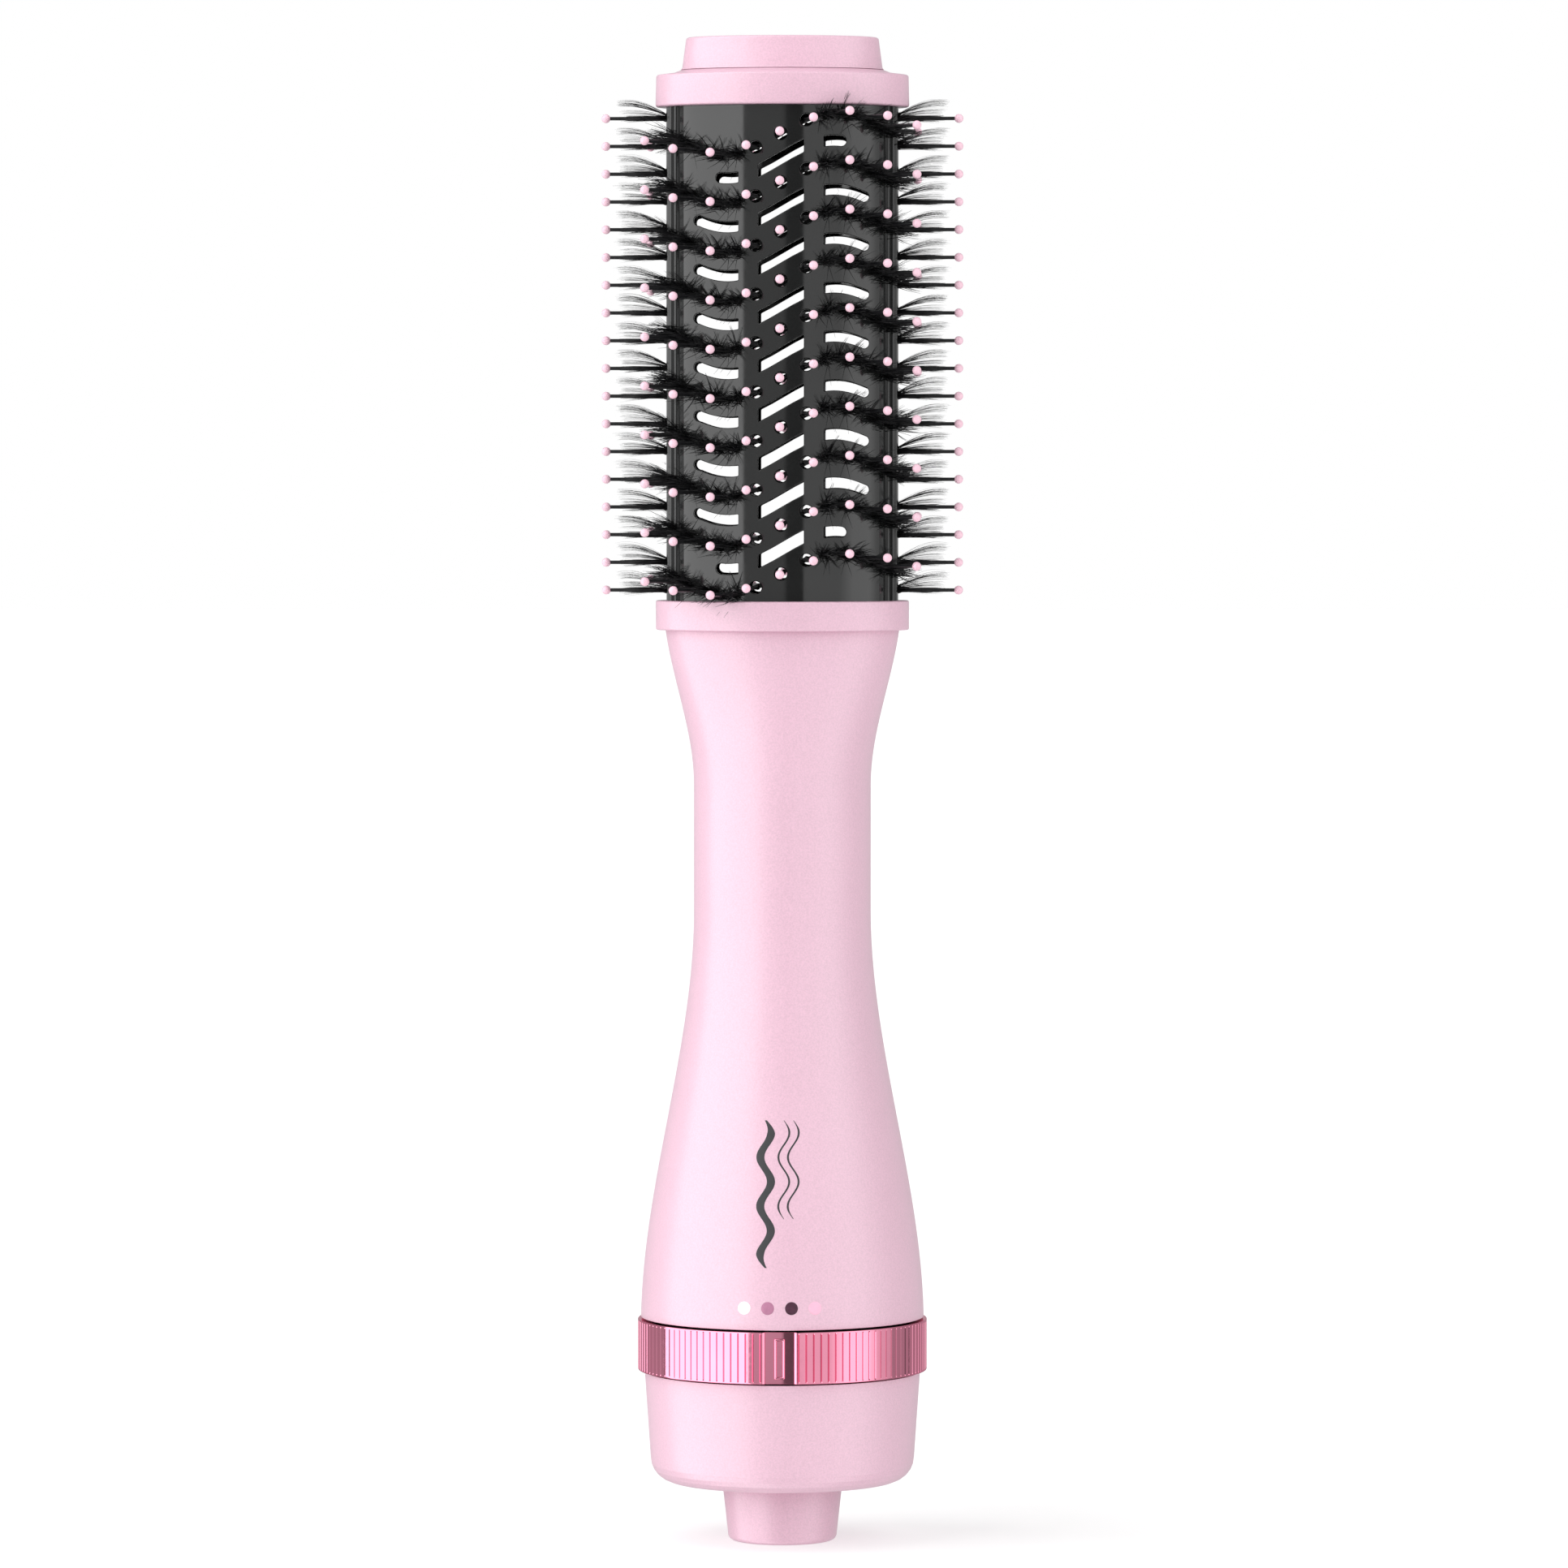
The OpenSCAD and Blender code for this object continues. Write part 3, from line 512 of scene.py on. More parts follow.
def mid_slot(z):
    """A slanted slot across the middle, between two rows of pins."""
    half = MID_SLOT_H / 2
    steps = [-1, -0.5, 0, 0.5, 1]
    below = [((s * MID_SLOT_X, z + wave(s * MID_SLOT_X) - half), abs(s) == 1) for s in steps]
    above = [((s * MID_SLOT_X, z + wave(s * MID_SLOT_X) + half), abs(s) == 1) for s in reversed(steps)]
    return rounded(below + above, SLOT_CORNER)


def side_slot(z, side, x_end):
    """A slot that follows the wave out to a round end at x_end."""
    half = SLOT_H / 2
    last = x_end - half
    xs = [SLOT_IN + (last - SLOT_IN) * i / 8 for i in range(9)]
    below = [((side * x, z + wave(side * x) - half), i == 0) for i, x in enumerate(xs)]
    above = [((side * x, z + wave(side * x) + half), i == 0) for i, x in enumerate(xs)][::-1]
    step = 0.01 * MM
    slope = math.atan((wave(last + step) - wave(last - step)) / (2 * step))
    centre = (last, z + wave(side * last))
    end = []
    for i in range(1, 10):
        t = math.radians(-90 + 18 * i) + slope
        end.append(((side * (centre[0] + half * math.cos(t)), centre[1] + half * math.sin(t)), False))
    loop = [(x, v - SLOT_LEAN * x - SLOT_DROP) for x, v in rounded(below + end + above, SLOT_CORNER)]
    return loop if side > 0 else loop[::-1]


def plate_openings():
    """Outlines of all slots and holes of one plate, in (x, z)."""
    loops = []
    for k in range(ROWS - 1):
        z = row_z(k) - ROW_PITCH / 2
        loops.append(mid_slot(z))
        x_end = SLOT_SHORT if k in (0, ROWS - 2) else SLOT_OUT
        loops += [side_slot(z, side, x_end) for side in (-1, 1)]
    for k in range(ROWS):
        for x in (-INNER_PIN_X, 0, INNER_PIN_X):
            z = row_z(k) + wave(x)
            loops.append([(x + HOLE_R * math.cos(t), z + HOLE_R * math.sin(t)) for t in circle(28)])
    return loops


def widen(loop, by):
    """The same outline moved outwards by a small distance."""
    out, n = [], len(loop)
    for i in range(n):
        d = Vector(loop[(i + 1) % n]) - Vector(loop[i - 1])
        normal = Vector((d.y, -d.x)).normalized()
        out.append(tuple(Vector(loop[i]) + normal * by))
    return out


class Opening:
    """An outline in the unrolled sheet, with a box round it that keeps the tests short."""

    def __init__(self, loop):
        self.loop = loop
        xs, zs = zip(*loop)
        self.left, self.right = min(xs) - NEAR, max(xs) + NEAR
        self.below, self.above = min(zs) - NEAR, max(zs) + NEAR

    def holds(self, x, z):
        """True if the point is inside the outline."""
        if not (self.left < x < self.right and self.below < z < self.above):
            return False
        hit = False
        for (x1, z1), (x2, z2) in zip(self.loop, self.loop[1:] + self.loop[:1]):
            if (z1 > z) != (z2 > z) and x < x1 + (z - z1) * (x2 - x1) / (z2 - z1):
                hit = not hit
        return hit

    def crowds(self, x, z):
        """True if the point is inside the outline or too near to one of its corners."""
        if not (self.left < x < self.right and self.below < z < self.above):
            return False
        return self.holds(x, z) or min((x - a) ** 2 + (z - b) ** 2 for a, b in self.loop) < NEAR ** 2


def unrolled(x):
    """Distance round the barrel, near enough, from its middle to x."""
    return (math.pi / 2 - math.acos(max(-1, min(1, x / BARREL_W)))) * (BARREL_W + BARREL_D) / 2


def rolled(u):
    """The x of a point at distance u round the barrel."""
    return BARREL_W * math.sin(2 * u / (BARREL_W + BARREL_D))


def plate_skin(loops):
    """One face of a plate, unrolled: its points, its triangles and how many points lie on its edge."""
    half = unrolled(PLATE_X) - PLATE_EDGE
    z1, z2 = PLATE_LOW + PLATE_EDGE, PLATE_HIGH - PLATE_EDGE
    nu, nz = 2 * round(half / MESH_STEP), round((z2 - z1) / (1.6 * MESH_STEP))
    rim = [(-half + 2 * half * i / nu, z1) for i in range(nu)]
    rim += [(half, z1 + (z2 - z1) * j / nz) for j in range(nz)]
    rim += [(-u, z1 + z2 - z) for u, z in rim]
    openings = [Opening([(unrolled(x), z) for x, z in loop]) for loop in loops]
    points, edges = [], []
    for loop in [rim] + [opening.loop for opening in openings]:
        start, n = len(points), len(loop)
        points += loop
        edges += [(start + i, start + (i + 1) % n) for i in range(n)]
    for i in range(1, nu):
        for j in range(1, nz):
            u, z = -half + 2 * half * i / nu, z1 + (z2 - z1) * j / nz
            if not any(opening.crowds(u, z) for opening in openings):
                points.append((u, z))
    verts, _, faces, *_ = geometry.delaunay_2d_cdt([Vector(p) for p in points], edges, [], 1, 1e-9)
    kept = []
    for face in faces:
        u, z = (sum(verts[i][axis] for i in face) / 3 for axis in (0, 1))
        if not any(opening.holds(u, z) for opening in openings):
            kept.append(tuple(face))
    return [tuple(v) for v in verts], kept, len(rim)


def barrel_plate(name, side):
    """A curved plate with walls of real thickness round every opening, and rounded rims."""
    openings = plate_openings()
    # how much wider each opening is, and at what depth, from the plate's outer face to its inner face
    levels = [(RIM, 0.0), (0.35 * RIM, 0.08 * MM), (0.0, 0.26 * MM), (0.0, WALL - 0.2 * MM),
              (0.15 * MM, WALL)]
    rings = [[widen(loop, by) for loop in openings] for by, _ in levels]
    verts, faces, normals = [], [], {}

    def point(x, z, depth):
        p = on_barrel(x, side, depth)
        return (p.x, p.y, z)

    def turned(face, out=True):
        return face if (side == FRONT) == out else face[::-1]

    def skin(loops, depth, out):
        flat, triangles, rim = plate_skin(loops)
        start = len(verts)
        for u, z in flat:
            x = rolled(u)
            normals[len(verts)] = tuple(facing(x, side) * (1 if out else -1))
            verts.append(point(x, z, depth))
        faces.extend(turned(tuple(start + i for i in f), out) for f in triangles)
        return start, rim

    def row(loop, depth):
        """Adds points at a depth, and gives their numbers."""
        start = len(verts)
        verts.extend(point(x, z, depth) for x, z in loop)
        return range(start, len(verts))

    def wall(rows, outside=False):
        """Faces between rows of points that lie deeper and deeper, in an opening or on the outside."""
        for upper, lower in zip(rows, rows[1:]):
            for i in range(len(upper)):
                after = (i + 1) % len(upper)
                others = (upper[after], lower[after], lower[i])
                faces.append(turned((upper[i], *(others[::-1] if outside else others))))

    outer, rim = skin(rings[0], 0.0, True)
    inner, _ = skin(rings[-1], WALL, False)
    at = rim
    for index, loop in enumerate(openings):
        n = len(loop)
        between = [row(ring[index], depth) for (_, depth), ring in list(zip(levels, rings))[1:-1]]
        wall([range(outer + at, outer + at + n)] + between + [range(inner + at, inner + at + n)])
        at += n
    edge = []
    for x, _, z in verts[outer:outer + rim]:
        u = unrolled(x)
        if abs(abs(u) + PLATE_EDGE - unrolled(PLATE_X)) < 1e-6:
            u += math.copysign(PLATE_EDGE, u)
        if min(z - PLATE_LOW, PLATE_HIGH - z) < PLATE_EDGE + 0.01 * MM:
            z += math.copysign(PLATE_EDGE, z - (PLATE_LOW + PLATE_HIGH) / 2)
        edge.append((rolled(u), z))
    between = [row(edge, depth) for depth in (PLATE_EDGE, WALL - PLATE_EDGE)]
    wall([range(outer, outer + rim)] + between + [range(inner, inner + rim)], outside=True)
    add_piece(name, verts, faces, "ceramic_grey", "handle", [name], 50, normals)


barrel_plate("front_barrel_plate", FRONT)
barrel_plate("rear_barrel_plate", BACK)


# ---------------------------------------------------------------- bristle beds
BED_TURN = math.radians(33)
RIDGES = [14.8, 22.6]                      # degrees round the oval, each way from the narrow side
BED_RISE = 24.1                            # from here the bed rises again towards the plate
RIDGE_HALF = 1.5
BED_FLAT = 8.5                             # up to here, on both sides of the pins, the bed has no groove
BED_STEPS = 260
GROOVE_DEEP = 0.75 * MM
BED_SUNK = 0.03 * MM


def bed_depth(degrees):
    """How far the bed's skin lies below the oval: none at the pins, then grooves with two round ridges."""
    turn = abs(degrees)
    groove = GROOVE_DEEP * smooth((turn - BED_FLAT) / 1.5) * (1 - 0.09 * max(0, turn - BED_RISE))
    ridge = max(max(0.0, 1 - ((turn - r) / RIDGE_HALF) ** 2) for r in RIDGES)
    return groove * (1 - math.sqrt(ridge)) + BED_SUNK


def bristle_bed(name, side):
    """The narrow strip between the plates, with fine upright ridges."""
    outer, inner = [], []
    for i in range(BED_STEPS + 1):
        t = -BED_TURN + 2 * BED_TURN * i / BED_STEPS
        depth = bed_depth(math.degrees(t))
        outer.append((side * (BARREL_W * FLAT - depth) * math.cos(t), (BARREL_D - depth) * math.sin(t)))
        inner.append((side * (BARREL_W - WALL) * math.cos(-t), (BARREL_D - WALL) * math.sin(-t)))
    outline = outer + inner
    if side < 0:
        outline = outline[::-1]
    shape = Shape()
    shape.loft([[(x, y, z) for x, y in outline] for z in (PLATE_LOW, PLATE_HIGH)], "halves")
    shape.piece(name, "ceramic_grey", "handle", [name], 50)


bristle_bed("left_bristle_bed", -1)
bristle_bed("right_bristle_bed", 1)


# ---------------------------------------------------------------- pins and their balls
def across(direction):
    """Two unit vectors square to a direction."""
    side = direction.cross(Vector((0, 0, 1))).normalized()
    return side, side.cross(direction).normalized()


def add_turned(shape, root, direction, profile, sides):
    """Adds a turned form along a direction; profile is (distance, radius)."""
    u, v = across(direction)
    rings = []
    for distance, r in profile:
        centre = root + direction * distance
        rings.append([centre + (u * math.cos(t) + v * math.sin(t)) * r for t in circle(sides)])
    shape.loft(rings)


def broad_places(side):
    """(root, direction, on_frame) of the pins on one broad side; a row's inner three are on the frame."""
    columns = [-x for x in OUTER_PIN_X] + [-INNER_PIN_X, 0, INNER_PIN_X] + OUTER_PIN_X
    for k in range(ROWS):
        for x in columns:
            root = on_barrel(x, side) + Vector((0, 0, row_z(k) + wave(x)))
            yield root, facing(x, side), abs(x) <= INNER_PIN_X


def side_places(side):
    """The same for the column of pins on a narrow side."""
    for i in range(SIDE_PINS):
        yield Vector((side * BARREL_W * FLAT, 0, SIDE_TOP - i * SIDE_PITCH)), Vector((side, 0, 0)), False


def make_pins(pins_node, tips_node, places, length):
    """Pins with a wide foot, or a long root down to the pin frame, and a ball on the end of each."""
    shafts, balls = Shape(), Shape()
    ball_at = length + math.sqrt(BALL_R ** 2 - PIN_R ** 2)
    arc = [math.pi * (i / 12) for i in range(13)]
    ball = [(ball_at - BALL_R * math.cos(t), max(BALL_R * math.sin(t), 1e-6)) for t in arc]
    for root, direction, on_frame in places:
        if on_frame:
            shaft = [(-3.1 * MM, 1.35 * PIN_R), (-2 * MM, 1.1 * PIN_R)]
        else:
            shaft = [(-0.3 * MM, 1.9 * PIN_R), (0.25 * MM, 1.7 * PIN_R), (0.8 * MM, 1.2 * PIN_R)]
        shaft += [(4 * MM, 1.0 * PIN_R), (length, 0.92 * PIN_R), (length + 0.4 * MM, 0.85 * PIN_R)]
        add_turned(shafts, root, direction, shaft, 12)
        add_turned(balls, root, direction, ball, 18)
    shafts.piece(pins_node, "bristle", "handle", [pins_node], 60)
    balls.piece(tips_node, "tip", "handle", [tips_node], 80)


make_pins("front_pins", "front_pin_tips", broad_places(FRONT), PIN_LEN)
make_pins("rear_pins", "rear_pin_tips", broad_places(BACK), PIN_LEN)
make_pins("left_pins", "left_pin_tips", side_places(-1), SIDE_PIN_LEN)
make_pins("right_pins", "right_pin_tips", side_places(1), SIDE_PIN_LEN)


# ---------------------------------------------------------------- bristle tufts
class Hairs:
    """Tapered three-sided filaments, each along a bent line."""

    def __init__(self, seed):
        self.random = random.Random(seed)
        self.shape = Shape()

    def add(self, root, direction, length, lift, radius, steps=4, arch=1.2):
        """One hair whose tip is lifted, and which bends on the way as a sine does up to arch radians."""
        u, v = across(direction)
        turn = self.random.uniform(0, 2 * math.pi)
        rings = []
        for s in range(steps + 1):
            t = s / steps
            bend = lift * math.sin(arch * t) / math.sin(arch)
            centre = root + direction * (length * t) + Vector((0, 0, bend))
            r = radius * (1 - 0.75 * t)
            corners = [turn + a for a in circle(3)]
            rings.append([centre + (u * math.cos(a) + v * math.sin(a)) * r for a in corners])
        start = len(self.shape.verts)
        for ring in rings:
            self.shape.verts.extend(ring)
        for s in range(steps):
            a, b = start + 3 * s, start + 3 * s + 3
            self.shape.faces.extend((a + k, a + (k + 1) % 3, b + (k + 1) % 3, b + k) for k in range(3))
        last = start + 3 * steps
        self.shape.faces += [(start + 2, start + 1, start), (last, last + 1, last + 2)]

    def wisp(self, root, direction, length, lift):
        """A few hairs that keep together and meet in a point, as a tuft's outer hairs do."""
        for _ in range(5):
            start = root + Vector([self.random.gauss(0, 0.16 * MM) for _ in range(3)])
            turned = self.around(direction, 0.025)
            self.add(start, turned, length * self.random.uniform(0.85, 1), lift, MEDIUM, 4)

    def around(self, direction, tilt):
        """The direction, tipped by a random angle of about tilt, in radians."""
        u, v = across(direction)
        a = self.random.uniform(0, 2 * math.pi)
        t = abs(self.random.gauss(0, tilt))
        return (direction + (u * math.cos(a) + v * math.sin(a)) * math.tan(t)).normalized()


TUFT_LEN = 9.8 * MM
TUFT_HAIRS = 52
ROOT_DEPTH = 0.1 * MM
THICK, STRAY, MEDIUM, FINE = 0.11 * MM, 0.09 * MM, 0.07 * MM, 0.036 * MM      # radii of hairs
STRAY_X = [-20.5 * MM, -12 * MM, -10 * MM, 11 * MM, 15 * MM]
WISPS = [3.6, 3.0, 2.4, 1.9, 1.3, 0.5, -0.9, -1.9]      # how far a tuft's wisps bend up, in millimetres


def broad_tufts(name, side, seed):
    """Dense upright hairs in bands along the rows, wisps that curl out of them, and a few strays."""
    hairs = Hairs(seed)
    rnd = hairs.random
    for k in range(ROWS):
        for x in [-x for x in TUFT_X] + TUFT_X:
            def root(across_by, up_by):
                shifted = x + rnd.gauss(0, across_by * MM)
                z = row_z(k) + wave(shifted) + rnd.gauss(-0.15, up_by) * MM
                return on_barrel(shifted, side, ROOT_DEPTH) + Vector((0, 0, z))

            for _ in range(TUFT_HAIRS):
                start = root(0.8, 0.62)
                direction = hairs.around(facing(start.x, side), 0.13)
                length = TUFT_LEN * rnd.uniform(0.6, 1.0)
                hairs.add(start, direction, length, rnd.gauss(0.1, 0.6) * MM, THICK, 2)
            for lift in WISPS:
                start = root(0.8, 0.4)
                direction = hairs.around(facing(start.x, side), 0.15)
                length = TUFT_LEN * rnd.uniform(0.5, 0.95)
                hairs.wisp(start, direction, length, (lift + rnd.gauss(0, 0.3)) * MM)
        for x in STRAY_X:
            start = on_barrel(x, side, ROOT_DEPTH) + Vector((0, 0, row_z(k) + wave(x) - 1 * MM))
            slant = Vector((-0.6 if x < 0 else rnd.uniform(-0.25, 0.25), 0, -0.9))
            direction = (facing(x, side) + slant).normalized()
            hairs.add(start, direction, rnd.uniform(5, 6.5) * MM, rnd.uniform(-1.2, -0.4) * MM, STRAY, 5)
    hairs.shape.piece(name, "bristle", "handle", [name], 180)


SIDE_HAIRS = 90
FAN_HAIRS = 80
FAN_LAYERS = [3.6, 3.2, 3.0, 2.6, 1.7, 1.2, 0.6]        # how far the fan's hairs bend up, in millimetres
DIPPING_HAIRS = 24


def side_tufts(name, side, seed):
    """Hairs that hug each side pin, fine ones that fan out above it, and a few that dip under it."""
    hairs = Hairs(seed)
    rnd = hairs.random
    skin = side * (BARREL_W * FLAT - 0.2 * MM)
    for i in range(SIDE_PINS):
        z = SIDE_TOP - i * SIDE_PITCH
        for _ in range(SIDE_HAIRS):
            y = rnd.gauss(0, 1.2 * MM)
            direction = Vector((side, 0.02 * y / MM + rnd.gauss(0, 0.05), rnd.gauss(0, 0.012))).normalized()
            start = Vector((skin, y, z + rnd.gauss(0, 0.22 * MM)))
            length = rnd.uniform(7.6, 11.3) * MM
            hairs.add(start, direction, length, rnd.gauss(0, 0.12) * MM, 0.8 * THICK, 3)
        for _ in range(FAN_HAIRS):
            y = rnd.gauss(0, 1.5 * MM)
            layer = rnd.choice(FAN_LAYERS)
            direction = Vector((side, 0.03 * y / MM + rnd.gauss(0, 0.07), 0)).normalized()
            lift = (layer - 0.5 + rnd.gauss(0, 0.16)) * MM
            start = Vector((skin, y, z + (0.25 + 0.2 * layer + rnd.gauss(0, 0.08)) * MM))
            length = (9.6 + 0.5 * layer + rnd.gauss(0, 0.5)) * MM
            hairs.add(start, direction, length, max(0.05 * MM, lift), FINE, 7, rnd.uniform(1.6, 2.05))
        for _ in range(DIPPING_HAIRS):
            y = rnd.gauss(0, 1.3 * MM)
            direction = Vector((side, rnd.gauss(0, 0.07), -0.10 + rnd.gauss(0, 0.02))).normalized()
            start = Vector((skin + side * rnd.uniform(0, 2) * MM, y, z - 0.25 * MM))
            hairs.add(start, direction, rnd.uniform(5, 9.4) * MM, rnd.uniform(0.1, 0.45) * MM, FINE, 4)
    hairs.shape.piece(name, "bristle", "handle", [name], 180)


broad_tufts("front_tufts", FRONT, 11)
broad_tufts("rear_tufts", BACK, 12)
side_tufts("left_tufts", -1, 13)
side_tufts("right_tufts", 1, 14)


# ---------------------------------------------------------------- dial
DIAL_R = high("dial_ring").x
DIAL_IN_R = 31.3 * MM
DIAL_LOW, DIAL_HIGH = low("dial_ring").z, high("dial_ring").z
DIAL_RIBS = 120
RIB_TURN = 360 / DIAL_RIBS
GROOVE = 0.3 * MM
GROOVE_HALF = 0.34                         # half a groove's width, in degrees
GROOVE_END = 0.3 * MM
WINDOW_TURN = 5.84                         # half the window's width, in degrees
BEVEL_TURN = 0.85
BEVEL = 0.3 * MM
WINDOW_DEPTH = 0.95 * MM
CHAMFER = 0.25 * MM


def dial_depths(degrees):
    """How deep the window and the groove between two ribs are, at an angle from the front."""
    beyond = abs(degrees) - WINDOW_TURN
    if beyond < 0:
        return WINDOW_DEPTH, 0.0
    if beyond < BEVEL_TURN:
        return BEVEL * (1 - beyond / BEVEL_TURN), 0.0
    offset = abs((degrees / RIB_TURN) % 1 - 0.5) * RIB_TURN
    return 0.0, GROOVE * max(0.0, 1 - offset / GROOVE_HALF)


def dial_profile(r, groove, chamfer):
    """The dial's section, from its inner face down, out, up the ribs and back."""
    ease = 0.2 * MM
    foot = [(r - 0.6 * chamfer, 0), (r - 0.18 * chamfer, 0.35 * chamfer), (r, chamfer),
            (r, chamfer + 0.05 * MM), (r - groove, chamfer + GROOVE_END)]
    profile = [(DIAL_IN_R, DIAL_LOW + ease), (DIAL_IN_R + ease, DIAL_LOW)]
    profile += [(x, DIAL_LOW + z) for x, z in foot]
    profile += [(x, DIAL_HIGH - z) for x, z in reversed(foot)]
    return profile + [(DIAL_IN_R + ease, DIAL_HIGH), (DIAL_IN_R, DIAL_HIGH - ease)]


def make_dial():
    angles = set()
    for i in range(DIAL_RIBS):
        angles.update((i + f) * RIB_TURN for f in (0, 0.2, 0.8))
        angles.update((i + 0.5) * RIB_TURN + f * GROOVE_HALF for f in (-1.02, -0.5, 0, 0.5, 1.02))
    for s in (-1, 1):
        angles.update(s * (WINDOW_TURN + f * BEVEL_TURN) % 360 for f in (-0.1, 0.05, 1))
    rings = []
    for degrees in sorted(angles):
        d = degrees if degrees <= 180 else degrees - 360
        deep, groove = dial_depths(d)
        profile = dial_profile(DIAL_R - deep, groove, 0.1 * MM if deep > BEVEL else CHAMFER)
        t = math.radians(d - 90)
        rings.append([(r * math.cos(t), r * math.sin(t), z) for r, z in profile])
    shape = Shape()
    shape.loft(rings, closed=True)
    shape.piece("dial_ring", "rose_chrome", "dial", ["dial_ring"], 22)


def on_dial(x, z, r):
    """Point of a cylinder of radius r at x on the front."""
    return (x, -math.sqrt(r * r - x * x), z)


def round_box(half_w, half_h, radius, steps=5):
    """Outline of a rounded rectangle, anticlockwise, as (x, z)."""
    out = []
    w, h = half_w - radius, half_h - radius
    for x, z, start in ((w, h, 0), (-w, h, 90), (-w, -h, 180), (w, -h, 270)):
        out += fillet(x, z, radius, start, start + 90, steps)
    return out


def make_pointer():
    """A slim raised frame in the dial's window."""
    window_r = DIAL_R - WINDOW_DEPTH
    middle = (DIAL_LOW + DIAL_HIGH) / 2 - 0.2 * MM
    half_w, half_h = 1.24 * MM, 4.7 * MM
    # inset from the frame's outline, height over the window's floor and corner radius, in millimetres
    steps = [(0, -0.25, 0.32), (0, 0.22, 0.32), (0.05, 0.36, 0.3), (0.15, 0.46, 0.26), (0.28, 0.5, 0.22),
             (0.41, 0.46, 0.18), (0.51, 0.36, 0.14), (0.56, 0.22, 0.1), (0.56, 0.04, 0.1)]
    rings = []
    for inset, rise, radius in steps:
        outline = round_box(half_w - inset * MM, half_h - inset * MM, radius * MM)
        rings.append([on_dial(x, middle + z, window_r + rise * MM) for x, z in outline])
    shape = Shape()
    shape.loft(rings)
    shape.piece("dial_pointer", "rose_chrome", "dial", ["dial_pointer"], 30)


make_dial()
make_pointer()


# ---------------------------------------------------------------- setting marks
MARK_PITCH = 9.6                           # degrees from mark to mark


def make_mark(name, slot, step):
    """A printed dot that lies on the handle's skin."""
    middle = ((low(name) + high(name)) / 2).z
    turn = math.radians(-90 + step * MARK_PITCH)
    rings = []
    for r, rise in ((1.5, -0.05), (1.5, 0.02), (1.42, 0.05), (0.9, 0.05), (0.4, 0.05)):
        ring = []
        for t in circle(48):
            z = middle + r * MM * math.sin(t)
            body_r = handle_size(z)[0] + rise * MM
            a = turn + r * MM * math.cos(t) / body_r
            ring.append((body_r * math.cos(a), body_r * math.sin(a), z))
        rings.append(ring)
    shape = Shape()
    shape.loft(rings)
    shape.piece(name, slot, "handle", [name], 60)


make_mark("setting_mark_off", "mark_white", -1.5)
make_mark("setting_mark_cool", "mark_mauve", -0.5)
make_mark("setting_mark_low", "mark_plum", 0.5)
make_mark("setting_mark_high", "mark_pink", 1.5)


# ---------------------------------------------------------------- airflow symbol
SYMBOL_TOP = 100.7 * MM


def airflow_line(shape, x, foot, width):
    """A printed stroke on the handle's front that waves from side to side as it rises."""
    swing, pitch, steps = 1.25 * MM, 11.2 * MM, 90
    rings = []
    for i in range(steps + 1):
        z = foot + (SYMBOL_TOP - foot) * i / steps
        taper = min(1.0, 8 * min(i, steps - i) / steps + 0.25)
        middle = x + swing * math.sin(2 * math.pi * (SYMBOL_TOP - z) / pitch)
        ring = []
        for side, rise in ((-1, -0.05), (1, -0.05), (1, 0.03), (0.5, 0.05), (-0.5, 0.05), (-1, 0.03)):
            r = handle_size(z)[0] + rise * MM
            turn = (middle + side * taper * width / 2) / r
            ring.append((r * math.sin(turn), -r * math.cos(turn), z))
        rings.append(ring)
    shape.loft(rings)


def make_airflow_symbol():
    """One bold line and two thin, shorter ones, in place of the name in the photograph."""
    shape = Shape()
    airflow_line(shape, -3.3 * MM, 67 * MM, 1.9 * MM)
    for x in (0.9 * MM, 3.1 * MM):
        airflow_line(shape, x, 78.2 * MM, 0.45 * MM)
    shape.piece("airflow_symbol", "inner_plastic", "handle", sharp=60)


make_airflow_symbol()


# ---------------------------------------------------------------- cord gland
def make_gland():
    """A tapered gland with a bore for the cord, and the neck that turns in the base."""
    bore = 3.5 * MM
    foot = 1.4 * MM
    wide = high("cord_gland").x
    foot_r = wide - 1.35 * MM
    top, shoulder, end = 13.6 * MM, 16.8 * MM, 28 * MM
    neck_r, stem_r = 8.9 * MM, 8 * MM
    profile = [(bore, 0.5 * MM), (bore + 0.15 * MM, 0.15 * MM), (bore + 0.5 * MM, 0)]
    profile += fillet(foot_r - foot, foot, foot, -90, 0, 8)
    profile += [(wide - 0.05 * MM, top - 0.6 * MM), (wide - 0.3 * MM, top - 0.1 * MM)]
    profile += [(wide - 0.8 * MM, top), (neck_r, top), (neck_r, shoulder), (stem_r, shoulder)]
    profile += [(stem_r, end), (bore, end)]
    shape = Shape()
    shape.loft(lathe_rings(profile), closed=True)
    shape.piece("cord_gland", "pearl_plastic", "swivel", ["cord_gland"])


make_gland()


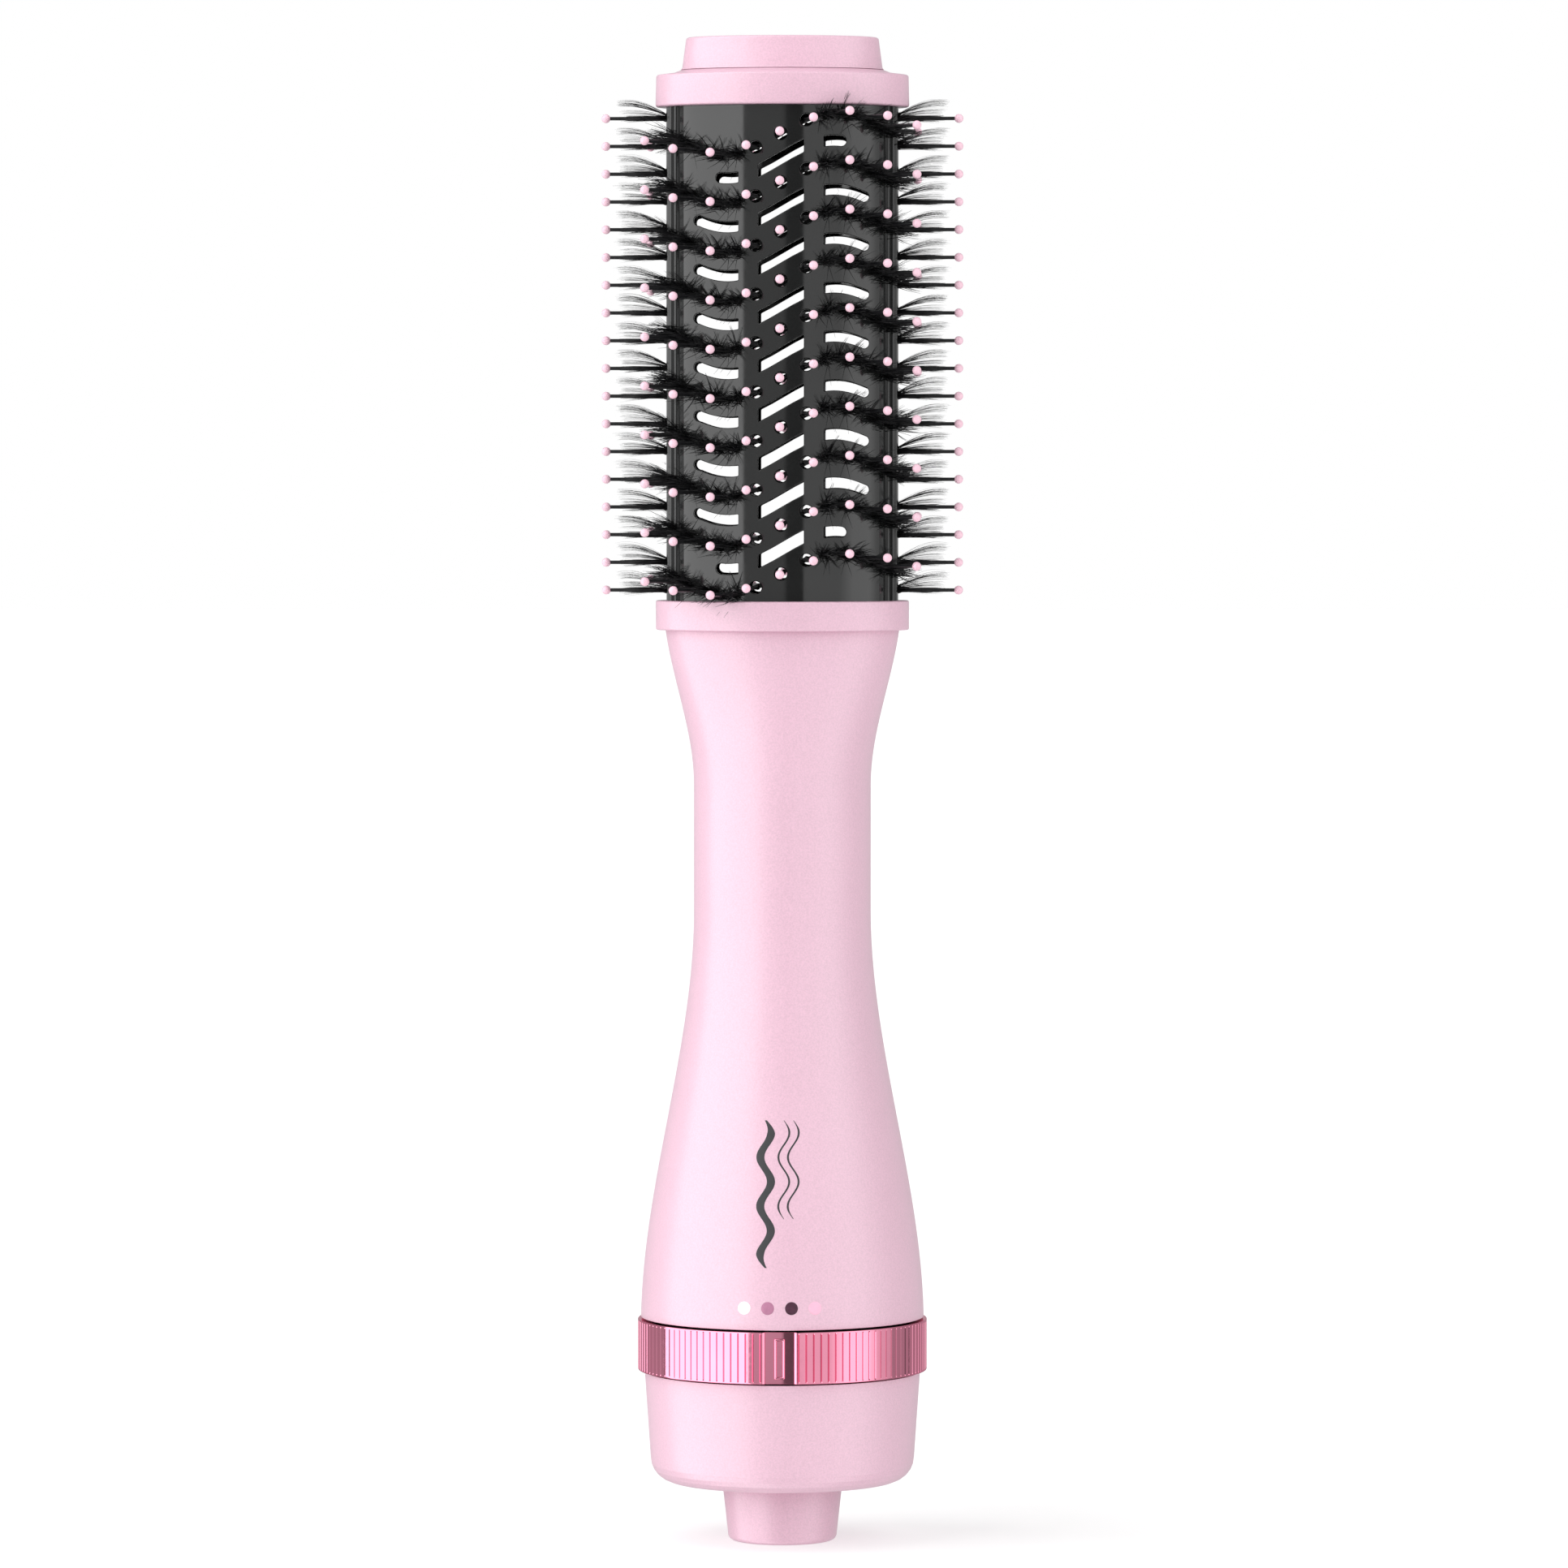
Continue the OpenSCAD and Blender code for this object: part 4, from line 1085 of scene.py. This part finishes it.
# ---------------------------------------------------------------- floor, light and background
# Brightness of the studio round the brush by bearing in degrees: 0 is at the camera, 90 is at +X
STUDIO = [(-180, 0.5), (-106.5, 0.45), (-105.5, 2.5), (-26.5, 2.6), (-25.5, 0.66), (1.1, 0.62), (2.1, 0.16),
          (12.9, 0.13), (13.9, 1.05), (40, 1.05), (52, 1.8), (72, 1.8), (84, 0.95), (97.5, 0.8),
          (98.5, 0.45), (180, 0.5)]
WHITE = (1, 1, 1, 1)


def make_floor():
    """A pale matt floor, bright enough that the brush's shadow stays faint."""
    mesh = bpy.data.meshes.new("floor")
    half = 12.0
    corners = [(-half, -half, 0), (half, -half, 0), (half, half, 0), (-half, half, 0)]
    mesh.from_pydata(corners, [], [(0, 1, 2, 3)])
    pale = (0.50, 0.50, 0.50)
    look = Look("floor", pale, 0.9, Specular_IOR_Level=0.1, Emission_Strength=0.54, Emission_Color=WHITE)
    look.mottle(look.noise(40), pale, 0.98, 1.02)
    mesh.materials.append(look.material)
    floor = bpy.data.objects.new("floor", mesh)
    bpy.context.scene.collection.objects.link(floor)
    floor.visible_glossy = False


def make_world():
    """A white room for the camera, lit by soft panels at fixed bearings."""
    world = bpy.data.worlds.new("studio")
    bpy.context.scene.world = world
    tree = Tree(world)
    split = tree.new("SeparateXYZ", Vector=tree.new("TexCoord").outputs["Generated"])
    flip = tree.new("Math")
    flip.operation = "MULTIPLY"
    tree.links.new(split.outputs["Y"], flip.inputs[0])
    flip.inputs[1].default_value = -1
    bearing = tree.new("Math")
    bearing.operation = "ARCTAN2"
    tree.links.new(split.outputs["X"], bearing.inputs[0])
    tree.links.new(flip.outputs["Value"], bearing.inputs[1])
    turn = tree.spread(bearing.outputs["Value"], 0, 1, -math.pi, math.pi)
    stops = [((degrees + 180) / 360, (level,) * 3) for degrees, level in STUDIO]
    panels = tree.set(tree.nodes["Background"], Color=tree.ramp(turn, stops))
    white = tree.new("Background", Color=WHITE)
    mix = tree.new("MixShader", Fac=tree.new("LightPath").outputs["Is Camera Ray"])
    tree.links.new(panels.outputs["Background"], mix.inputs[1])
    tree.links.new(white.outputs["Background"], mix.inputs[2])
    tree.set(tree.nodes["World Output"], Surface=mix.outputs["Shader"])


make_floor()
make_world()
bpy.context.scene.view_settings.view_transform = "Standard"
